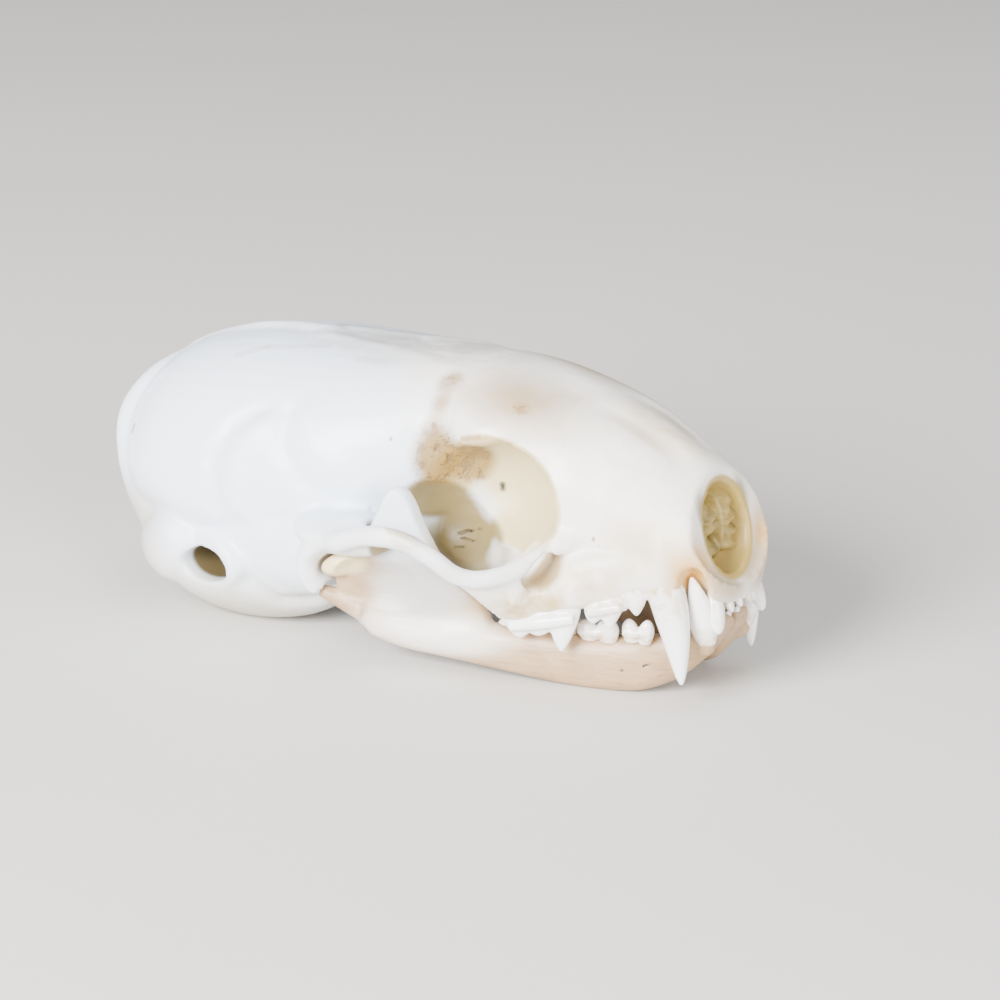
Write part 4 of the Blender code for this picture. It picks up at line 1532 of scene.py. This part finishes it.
    reliefs: Sequence[Relief] = (
        Relief(((12.6, -1.6, 16.1), (16.9, -1.6, 14.2)), 0.85, -0.11),
        Relief(((9.6, -1.5, 16.9), (16.9, -1.6, 14.2)), 1.1, -0.06),
        Relief(((3.9, -4.9, 15.1), (5.6, -5.3, 14.5)), 1.0, 0.42),
        Relief(((1.7, -3.3, 16.8), (1.5, -5.0, 15.3), (1.4, -5.9, 13.8)), 0.7, -0.2),
        Relief(
            ((4.2, -4.6, 15.7), (2.6, -3.6, 16.9), (-1.0, -2.0, 17.5), (-9.0, -0.9, 17.2)),
            0.6,
            0.1,
        ),
        Relief(((-9.0, -0.2, 17.2), (-14.0, -0.2, 16.6), (-19.5, -0.2, 14.4)), 0.5, 0.16),
        Relief(
            ((8.2, -5.8, 14.4), (11.2, -6.1, 12.4), (11.7, -6.1, 11.1), (11.6, -6.6, 9.8)),
            0.5,
            0.12,
        ),
        Relief(
            ((-8.6, -7.6, 14.0), (-10.4, -8.5, 12.8), (-11.5, -9.2, 10.6), (-11.0, -9.4, 8.0)),
            0.6,
            -0.26,
        ),
        Relief(
            ((-8.6, -8.4, 13.0), (-9.6, -9.1, 11.0), (-9.2, -9.4, 8.2), (-7.6, -9.3, 6.4)),
            0.9,
            0.22,
        ),
        Relief(
            ((-6.8, -7.6, 14.2), (-6.4, -8.6, 12.2), (-5.0, -8.8, 10.4), (-2.8, -8.0, 9.2)),
            0.6,
            -0.26,
        ),
        Relief(((-5.4, -7.4, 14.2), (-4.2, -8.1, 12.2), (-1.4, -7.4, 10.6)), 0.7, 0.16),
        Relief(((12.9, -6.3, 8.4), (15.5, -5.6, 8.8)), 0.8, 0.2),
        Relief(((-8.8, -8.8, 3.3), (-7.2, -8.0, 2.1), (-5.4, -6.9, 2.2)), 0.45, -0.35),
        Relief(
            ((-18.9, -4.4, 13.4), (-20.0, -5.8, 11.2), (-19.6, -6.6, 9.0), (-18.0, -7.9, 7.2)),
            0.8,
            0.18,
        ),
        Relief(((1.0, -9.6, 7.6), (2.6, -11.0, 8.9), (4.8, -11.5, 9.2)), 0.35, 0.08),
    )

    def join_all(self, core: bpy.types.Object) -> None:
        """Fuse everything that the bone is made of, with the orbits open behind the arches.

        Args:
            core: The braincase, which the rest is joined to.
        """
        pieces = [
            section_loft("face", self.face, self.core_steps),
            section_loft("maxilla", self.maxilla, self.maxilla_steps),
            section_loft("pterygoid", self.pterygoid, self.pterygoid_steps),
        ]
        hollows = [bar("nose_face", self.nose_face)]
        arches = []
        for side in BOTH:
            pieces += [ball("swelling", shape, side) for shape in self.swellings]
            pieces.append(bar("ear_tube", self.ear_tube, side))
            pieces.append(sweep("crest", self.crest, self.crest_steps, side))
            hollows.append(ball("orbit", self.orbit, side, ORBIT_CORNERS))
            hollows.append(ball("orbit_rear", self.orbit_rear, side, FINE_CORNERS))
            arches.append(sweep("cheek_arch", self.cheek_arch, self.arch_steps, side))
            arches.append(lobe_loft("cheek_root", self.cheek_root, side))
            arches.append(ball("joint_roof", self.joint_roof, side))
            upright = Vector(MIRROR_Y)
            arches.append(sweep("socket", self.socket, self.socket_steps, side, upright))
        combine(core, pieces, Action.JOIN)
        combine(core, hollows, Action.CUT)
        combine(core, arches, Action.JOIN)

    def cut_all(self, core: bpy.types.Object, jaws: Sequence[bpy.types.Object]) -> None:
        """Cut every opening and the room for the jaws.

        Args:
            core: The fused bone.
            jaws: The pieces of the lower jaws.
        """
        cutters = [
            ball("nose", self.nose, fineness=FINE_CORNERS),
            section_loft("palate", self.palate, self.palate_steps),
            ball("choana", self.choana),
            ball("foramen_magnum", self.foramen_magnum),
        ]
        for side in BOTH:
            cutters.append(bar("ear_hole", self.ear_hole, side))
            cutters.append(ball("notch", self.notch, side))
            cutters.append(bar("cheek_hole", self.cheek_hole, side))
            cutters.append(bar("orbit_hole", self.orbit_hole, side))
        cutters += [clearance(jaw, self.gap, self.voxel) for jaw in jaws]
        combine(core, cutters, Action.CUT)

    def build(self, jaws: Sequence[bpy.types.Object]) -> bpy.types.Object:
        """Build the bone.

        Args:
            jaws: The pieces of the lower jaws, which the bone is cut clear of.

        Returns:
            The cranium.
        """
        core = section_loft("cranium_bone", self.braincase, self.core_steps)
        self.join_all(core)
        self.cut_all(core, jaws)
        soften(core, self.voxel, self.smoothing)
        keep_largest(core)
        carve(core, self.reliefs, BOTH)
        clip(core, (0, 0, 0), (0, 0, -1))
        return core


@dataclass
class UpperTeeth:
    """Both upper rows of teeth."""

    gum_steps: int = 14
    lobes: Sequence[Lobe] = (
        Lobe((20.4, -0.5, 6.7), (20.85, -0.5, 5.6), 0.26, 0.34, 80.0, PEG),
        Lobe((20.2, -1.25, 6.7), (20.7, -1.25, 5.45), 0.3, 0.38, 65.0, PEG),
        Lobe((19.9, -2.1, 7.1), (20.6, -2.5, 4.45), 0.55, 0.5, 55.0, PEG),
        Lobe((17.0, -4.2, 9.4), (19.1, -4.0, 1.42), 1.25, 0.95, 8.0, FANG, 0.3),
        Lobe((16.15, -4.95, 7.6), (16.5, -5.0, 5.45), 0.7, 0.45, 12.0, CONE),
        Lobe((15.7, -5.05, 7.6), (15.75, -5.1, 5.6), 0.55, 0.42, 12.0, CONE),
        Lobe((14.9, -5.3, 7.3), (14.95, -5.45, 4.45), 0.78, 0.52, 16.0, CONE),
        Lobe((14.2, -5.6, 7.0), (14.0, -5.75, 4.65), 0.68, 0.5, 16.0, BLADE),
        Lobe((12.2, -6.2, 6.8), (12.25, -6.35, 2.7), 1.15, 0.62, 16.0, FANG),
        Lobe((11.0, -6.6, 6.4), (10.8, -6.8, 3.5), 1.3, 0.5, 14.0, BLADE),
        Lobe((9.8, -6.8, 6.0), (9.7, -7.0, 3.2), 1.0, 0.48, 13.0, BLADE),
        Lobe((12.2, -5.3, 6.4), (12.3, -5.3, 4.6), 0.5, 0.5, 16.0, PEG),
        Lobe((8.7, -6.0, 5.6), (8.75, -6.2, 3.3), 0.65, 1.1, 0.0, BLADE),
    )
    gum_bars: Sequence[Sequence[Strap]] = (
        (
            Strap(13.2, -6.55, 5.0, 0.3, 0.34),
            Strap(11.3, -7.1, 4.5, 0.36, 0.42),
            Strap(9.3, -7.42, 3.95, 0.32, 0.36),
        ),
        (
            Strap(15.8, -5.62, 6.0, 0.28, 0.28),
            Strap(14.8, -5.95, 5.72, 0.3, 0.34),
            Strap(13.9, -6.15, 5.4, 0.28, 0.28),
        ),
    )

    def build(self) -> bpy.types.Object:
        """Build both rows as one piece.

        Returns:
            The teeth.
        """
        teeth = tooth_row(self.lobes, self.gum_bars, self.gum_steps, BOTH)
        teeth.name = teeth.data.name = "upper_teeth"
        return teeth


@dataclass
class NasalScrolls:
    """Scrolled, lumpy bone inside the nose and the thin wall between its halves."""

    voxel: float = 0.1
    smoothing: int = 2
    wall: Ball = Ball((17.9, 0.0, 9.9), (1.4, 0.2, 2.3))
    lumps: Sequence[Ball] = (
        Ball((17.2, -1.2, 10.0), (1.2, 1.3, 2.3)),
        Ball((17.9, -1.3, 11.5), (1.0, 0.9, 0.45), 10.0, 30.0),
        Ball((18.2, -0.8, 10.9), (0.9, 0.7, 0.42), -12.0, 12.0),
        Ball((18.1, -1.7, 10.4), (0.9, 0.8, 0.38), 20.0, 24.0),
        Ball((18.3, -0.9, 10.0), (0.8, 0.8, 0.46), 0.0, -20.0),
        Ball((18.2, -1.6, 9.5), (0.9, 0.8, 0.4), -16.0, 16.0),
        Ball((18.5, -0.8, 9.0), (0.8, 0.8, 0.42), 8.0, 28.0),
        Ball((18.3, -1.4, 8.5), (0.9, 0.8, 0.42), 14.0, -8.0),
    )

    def build(self) -> bpy.types.Object:
        """Build the scrolls of both sides with the wall.

        Returns:
            The scrolls as one piece.
        """
        item = ball("nasal_scrolls", self.wall)
        lumps = [ball("lump", lump, side) for lump in self.lumps for side in BOTH]
        combine(item, lumps, Action.JOIN)
        soften(item, self.voxel, self.smoothing)
        item.name = item.data.name = "nasal_scrolls"
        return item


@dataclass
class Studio:
    """Pale floor, soft lights and the camera of the photograph."""

    turn: float = 33.64
    rise: float = 18.57
    roll: float = 0.98
    focal: float = 3.752
    distance: float = 230.0
    side_step: float = 2.94
    up_step: float = 0.55
    target: Point = (0.0, 0.0, 7.3)
    sensor: float = 36.0
    near_limit: float = 0.01
    floor_half: float = 3.0
    floor_rough: float = 0.85
    floor_colour: Colour = (0.62, 0.6, 0.57)
    floor_change: float = 1.03
    world_colour: Colour = (0.9, 0.93, 1.0)
    world_strength: float = 0.45
    lamps: Sequence[Lamp] = (
        Lamp("key", (-30.0, -310.0, 150.0), 210.0, 5.4, (1.0, 0.99, 0.98)),
        Lamp("fill", (290.0, -150.0, 110.0), 200.0, 1.5, (1.0, 0.97, 0.92)),
        Lamp("top", (20.0, 90.0, 320.0), 220.0, 0.5, (0.97, 0.98, 1.0)),
    )

    def place(self, point: Point | Vector) -> Vector:
        """Return a point of the skull's frame in the scene.

        Args:
            point: The point in millimetres.

        Returns:
            The point in metres.
        """
        return (Vector(point) + Vector((CENTRE_SHIFT, 0, 0))) * MM

    def make_camera(self) -> None:
        """Place the camera where the photograph was taken from."""
        turn, rise, roll = (math.radians(value) for value in (self.turn, self.rise, self.roll))
        level = Vector((math.cos(turn), math.sin(turn), 0.0))
        flat = Vector((math.sin(turn), -math.cos(turn), 0.0))
        back = flat * math.cos(rise) + Vector((0.0, 0.0, math.sin(rise)))
        upward = back.cross(level)
        right = level * math.cos(roll) + upward * math.sin(roll)
        top = upward * math.cos(roll) - level * math.sin(roll)
        eye = Vector(self.target) + back * self.distance
        eye += right * self.side_step + top * self.up_step
        data = bpy.data.cameras.new("camera")
        data.sensor_width = self.sensor
        data.lens = self.focal * self.sensor
        data.clip_start = self.near_limit
        camera = bpy.data.objects.new("camera", data)
        matrix = Matrix((right, top, back)).transposed().to_4x4()
        matrix.translation = self.place(eye)
        camera.matrix_world = matrix
        bpy.context.scene.collection.objects.link(camera)
        bpy.context.scene.camera = camera

    def make_lights(self) -> None:
        """Hang the soft lights and set the sky's even light."""
        for lamp in self.lamps:
            data = bpy.data.lights.new(lamp.name, "AREA")
            data.shape = "DISK"
            data.size = lamp.size * MM
            data.energy = lamp.power
            data.color = lamp.colour
            item = bpy.data.objects.new(lamp.name, data)
            item.location = self.place(lamp.place)
            aim = self.place(self.target) - item.location
            item.rotation_euler = aim.to_track_quat("-Z", "Y").to_euler()
            bpy.context.scene.collection.objects.link(item)
        world = bpy.data.worlds.new("sky")
        world.use_nodes = True
        sky = world.node_tree.nodes["Background"]
        sky.inputs["Color"].default_value = (*self.world_colour, 1.0)
        sky.inputs["Strength"].default_value = self.world_strength
        bpy.context.scene.world = world

    def make_floor(self) -> None:
        """Lay the floor."""
        surface = bmesh.new()
        bmesh.ops.create_grid(surface, x_segments=1, y_segments=1, size=self.floor_half)
        floor = add_object(surface, "floor")
        material, tree, shader = new_material("floor_paper")
        where = tree.add("ShaderNodeTexCoord").outputs["Object"]
        paler = tuple(self.floor_change * part for part in self.floor_colour)
        colour = tree.mix(tree.noise(where, 40.0, 2.0), self.floor_colour, paler)
        tree.feed(shader.inputs["Base Color"], colour)
        tree.feed(shader.inputs["Roughness"], self.floor_rough)
        floor.data.materials.append(material)
        floor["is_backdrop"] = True


BLUE_WHITE = (0.76, 0.85, 0.98)
WARM_WHITE = (0.93, 0.91, 0.88)
CREAM = (0.54, 0.37, 0.13)
# Painted shade: yellow-olive of the shaded orbit walls, with light bounced inside them.
ORBIT_SHADE = (0.22, 0.165, 0.06)
AMBER = (0.62, 0.33, 0.04)
# Painted shade: yellow-brown of the nose opening's inside, with light bounced within it.
NOSE_SHADE = (0.42, 0.29, 0.06)
# Near black: painted shade inside small holes, and the thin dark lines low in the orbit.
HOLE_SHADE_AND_LINES = (0.02, 0.014, 0.01)
PINK = (0.38, 0.25, 0.14)
SPONGE = (0.27, 0.165, 0.035)
ARCH_WHITE = (0.76, 0.78, 0.82)
BROWN = (0.36, 0.22, 0.1)
GREY_LINE = (0.42, 0.38, 0.33)

CRANIUM_FINISH = BoneFinish(
    name="cranium_bone",
    light=WARM_WHITE,
    dark=(0.84, 0.78, 0.7),
    rough=0.4,
    pit_colour=(0.16, 0.1, 0.045),
    stains_and_shade=(
        StainOrShade((-10.0, -4.0, 10.0), (17.0, 12.0, 11.0), BLUE_WHITE, 0.95, 0.62, 1.02),
        StainOrShade((-18.5, -7.5, 4.2), (6.5, 5.0, 5.2), (0.44, 0.4, 0.34), 0.95, 0.2, 1.0),
        StainOrShade((-10.5, -6.5, 0.8), (9.0, 6.0, 4.8), (0.42, 0.38, 0.31), 0.8, 0.3, 1.0),
        StainOrShade((-3.0, 0.0, 17.9), (15.0, 5.0, 2.4), (0.42, 0.41, 0.39), 0.75, 0.2, 1.0, 0.7),
        StainOrShade((7.3, -3.6, 16.4), (7.2, 4.2, 3.8), (0.36, 0.24, 0.12), 0.9, 0.0, 1.0),
        StainOrShade((15.0, 0.0, 15.4), (7.0, 2.6, 3.0), (0.62, 0.47, 0.27), 0.6, 0.2, 1.0, 0.8),
        StainOrShade((16.8, -5.0, 9.7), (3.4, 2.2, 2.8), CREAM, 0.5, 0.0, 1.0),
        # Painted shade on the inner side walls of the nose opening.
        StainOrShade((18.9, -2.1, 11.4), (1.5, 1.0, 1.7), (0.22, 0.18, 0.09), 0.8, 0.3, 1.0),
        StainOrShade((14.0, -6.2, 7.4), (4.0, 2.4, 2.0), CREAM, 0.6, 0.1, 1.0, 1.0),
        StainOrShade((11.0, -7.6, 5.6), (4.8, 2.6, 2.3), (0.46, 0.31, 0.1), 0.95, 0.3, 1.0, 1.0),
        StainOrShade((19.2, -3.6, 8.2), (2.4, 2.4, 3.1), AMBER, 0.95, 0.2, 1.0),
        # Warm tint with painted shade on the front of the premaxilla, mostly for the far side.
        StainOrShade((20.6, -1.6, 7.6), (1.7, 2.6, 2.0), (0.42, 0.31, 0.17), 0.8, 0.3, 1.0),
        StainOrShade((14.8, -1.7, 15.5), (4.4, 0.8, 1.8), (0.42, 0.3, 0.18), 0.5, 0.1, 1.0),
        # Painted shade on the orbit's inner walls and floor, yellowish from bounced light (this and
        # the next three).
        StainOrShade((7.0, -8.1, 11.0), (5.0, 5.2, 4.0), (0.6, 0.49, 0.23), 0.9, 1.02, 1.08),
        StainOrShade((4.1, -7.6, 8.6), (3.9, 4.0, 3.4), ORBIT_SHADE, 0.95, 1.0, 1.09),
        StainOrShade((2.4, -4.2, 9.5), (2.6, 1.3, 1.8), ORBIT_SHADE, 0.8, 0.4, 1.0),
        StainOrShade((4.0, -3.2, 6.6), (4.6, 2.3, 2.6), ORBIT_SHADE, 0.9, 0.75, 1.0),
        # Painted shade and bounced light inside the nose opening.
        StainOrShade((19.3, 0.0, 10.1), (3.4, 2.6, 3.0), NOSE_SHADE, 0.95, 0.98, 1.08),
        # Painted shade deep in the ear opening.
        StainOrShade((-12.0, -7.3, 3.8), (2.2, 1.9, 1.4), (0.09, 0.065, 0.022), 0.98, 0.85, 1.02),
        StainOrShade((-2.4, -9.0, 6.6), (1.8, 2.4, 1.9), CREAM, 0.6),
        # Painted shade inside the canal of the cheek hole.
        StainOrShade((10.6, -6.4, 7.7), (2.0, 1.5, 1.7), (0.38, 0.25, 0.09), 0.92, 0.65, 1.0),
    ),
    pitted=(
        StainOrShade((2.7, -5.6, 12.6), (1.9, 2.2, 3.0), SPONGE, 0.95, 0.4, 1.0),
        StainOrShade((4.1, -4.3, 12.5), (2.1, 2.0, 2.2), SPONGE, 0.9, 0.55, 1.0),
        StainOrShade((2.4, -3.7, 16.6), (1.3, 1.5, 1.1), SPONGE, 0.85, 0.2, 1.0, 1.4),
        StainOrShade((7.76, -4.28, 16.26), (0.9, 0.7, 0.6), (0.4, 0.24, 0.1), 0.85, 0.1, 1.0),
    ),
    marks=(
        *trace(((11.0, -7.6, 8.4), (8.3, -9.9, 7.3), (6.1, -11.0, 8.5)), 1.5, ARCH_WHITE, 0.9),
        *trace(((6.1, -11.0, 8.5), (1.6, -11.4, 9.1), (-1.6, -10.8, 8.0)), 1.7, ARCH_WHITE, 0.9),
        Mark((4.5, -3.7, 10.3), (5.3, -3.7, 9.3), 1.0, (0.72, 0.72, 0.72), 0.75, 0.0, False),
        Mark((6.25, -4.4, 7.4), (6.3, -4.6, 6.5), 0.8, (0.72, 0.72, 0.7), 0.6, 0.0, False),
        *trace(((2.46, -3.6, 16.95), (2.47, -4.9, 15.8), (2.5, -5.6, 14.5)), 0.9, BROWN, 0.5, 0.05),
        Mark((4.5, -5.65, 14.1), (5.9, -5.9, 14.5), 0.3, BROWN, 0.7, 0.03, False),
        Mark((5.9, -5.9, 14.5), (7.9, -5.6, 14.35), 0.28, BROWN, 0.5, 0.03, False),
        Mark((2.8, -5.7, 13.25), (2.75, -5.7, 13.15), 0.32, (0.2, 0.09, 0.035), 0.8, 0.15, False),
        Mark((2.46, -5.62, 14.6), (2.5, -5.65, 14.45), 0.26, (0.2, 0.1, 0.04), 0.7, 0.12, False),
        Mark((4.5, -3.65, 11.2), (4.7, -3.6, 11.15), 0.26, (0.25, 0.13, 0.06), 0.7, 0.1, False),
        *trace(
            ((-12.9, -4.6, 15.9), (-11.4, -3.7, 16.5), (-7.5, -2.8, 17.0)),
            0.5, GREY_LINE, 0.3, one_sided=True,
        ),
        Mark((-4.4, -3.5, 16.9), (-2.5, -3.5, 17.0), 0.6, GREY_LINE, 0.3, 0.0),
        # Painted shade: near-black inside small holes (this and the next two).
        Mark((5.73, -3.1, 10.75), (5.76, -3.1, 10.6), 0.3, HOLE_SHADE_AND_LINES, 1.0, 0.25, False),
        Mark((0.1, -6.75, 13.55), (0.12, -6.8, 13.5), 0.14, HOLE_SHADE_AND_LINES, 0.6, 0.1),
        Mark((-2.6, -9.7, 6.65), (-2.6, -9.7, 6.55), 0.16, HOLE_SHADE_AND_LINES, 0.8, 0.1),
        Mark((13.82, -5.7, 9.85), (13.84, -5.7, 9.75), 0.18, (0.3, 0.12, 0.05), 0.85, 0.1),
        Mark((14.2, -5.65, 9.4), (14.2, -5.65, 9.35), 0.12, (0.4, 0.2, 0.1), 0.7, 0.08),
        Mark((-19.55, -6.66, 10.7), (-19.6, -6.8, 10.3), 0.3, (0.28, 0.15, 0.08), 0.6, 0.08),
        *trace(
            ((3.22, -3.87, 7.49), (3.99, -3.77, 7.77), (4.95, -3.88, 8.19)),
            0.14, HOLE_SHADE_AND_LINES, 0.75, 0.1, one_sided=True,
        ),
        *trace(
            ((3.48, -3.95, 7.26), (4.29, -4.02, 7.25), (5.27, -4.13, 7.65)),
            0.11, HOLE_SHADE_AND_LINES, 0.6, 0.08, one_sided=True,
        ),
        Mark((2.92, -4.45, 6.61), (3.78, -4.2, 6.85), 0.12, HOLE_SHADE_AND_LINES, 0.6, 0.08),
    ),
)

JAW_FINISH = BoneFinish(
    name="jaw_bone",
    light=(0.46, 0.31, 0.18),
    dark=PINK,
    rough=0.44,
    stains_and_shade=(
        StainOrShade((3.4, -7.4, 2.6), (7.0, 3.4, 2.2), (0.92, 0.9, 0.86), 0.85, 0.3, 1.0),
        StainOrShade((2.4, -8.6, 9.2), (3.4, 2.6, 4.4), BLUE_WHITE, 0.9, 0.4, 1.0),
        # Painted shade in the hollow on the outer face of the rear plate.
        StainOrShade((3.2, -8.0, 5.0), (4.6, 2.8, 2.6), (0.48, 0.47, 0.45), 0.9, 0.4, 1.0),
        # Painted shade, warm brown, at the neck below the jaw joint.
        StainOrShade((-0.6, -8.9, 4.6), (1.4, 1.6, 1.0), (0.36, 0.25, 0.14), 0.7, 0.2, 1.0),
        StainOrShade((-1.4, -9.6, 6.3), (1.9, 2.2, 1.1), (0.78, 0.66, 0.38), 0.9, 0.5, 1.0),
        StainOrShade((7.2, -6.9, 4.9), (1.3, 1.4, 1.6), CREAM, 0.5, 0.2, 1.0, 0.9),
        StainOrShade((18.6, -1.8, 2.4), (2.2, 2.4, 2.2), CREAM, 0.4, 0.2, 1.0, 0.9),
        StainOrShade((12.4, -5.6, 3.4), (1.6, 0.9, 0.8), (0.42, 0.26, 0.18), 0.6),
    ),
    marks=(
        # Painted shade inside the small holes of the jaw.
        Mark((16.85, -3.9, 2.05), (16.55, -3.95, 1.95), 0.17, HOLE_SHADE_AND_LINES, 0.9, 0.15),
        Mark((15.35, -4.5, 1.65), (15.25, -4.5, 1.5), 0.12, HOLE_SHADE_AND_LINES, 0.75, 0.1),
    ),
    streaks=0.05,
)

# Painted shade: the scrolls' dark yellow-brown is shade and light bounced inside the nose, darkest
# low down.
SHADED_SCROLL_FINISH = BoneFinish(
    name="shaded_nasal_bone",
    light=(0.42, 0.31, 0.09),
    dark=(0.17, 0.125, 0.04),
    rough=0.55,
    stains_and_shade=(StainOrShade((17.8, 0.4, 8.3), (1.0, 1.4, 0.6), (0.12, 0.06, 0.02), 0.85),),
    streaks=0.1,
)

ENAMEL_UPPER = EnamelFinish(
    "upper_enamel", (0.96, 0.97, 0.99), (0.64, 0.5, 0.32), (4.2, 7.2), 0.16
)
ENAMEL_LOWER = EnamelFinish(
    "lower_enamel", (0.95, 0.94, 0.93), (0.7, 0.56, 0.42), (5.4, 3.6), 0.18
)


def main() -> None:
    """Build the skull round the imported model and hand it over."""
    logging.basicConfig(level=logging.INFO, format="%(name)s %(message)s")
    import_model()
    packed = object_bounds()

    studio = Studio()
    studio.make_camera()
    studio.make_lights()
    studio.make_floor()

    effects = Effects()
    jaw_bone = JAW_FINISH.material(effects)
    lower_enamel = ENAMEL_LOWER.material(effects)
    cranium_bone = CRANIUM_FINISH.material(effects)
    pieces = []
    jaw_items = []
    for side, node in ((Side.RIGHT, "mandible_right"), (Side.LEFT, "mandible_left")):
        bone, teeth = LowerJaw(side).build()
        jaw_items += [bone, teeth]
        pieces.append(Piece(bone, jaw_bone, node, "jaw_bone"))
        pieces.append(Piece(teeth, lower_enamel, node, "jaw_bone"))
    cranium = Cranium().build(jaw_items)
    pieces.append(Piece(cranium, cranium_bone, "cranium", "cranium_bone"))
    for builder, finish in ((UpperTeeth(), ENAMEL_UPPER), (NasalScrolls(), SHADED_SCROLL_FINISH)):
        item = builder.build()
        pieces.append(Piece(item, finish.material(effects), "cranium", "cranium_bone"))
    for piece in pieces:
        piece.fit(*packed)
        piece.hand_over()


if __name__ == "__main__":
    main()
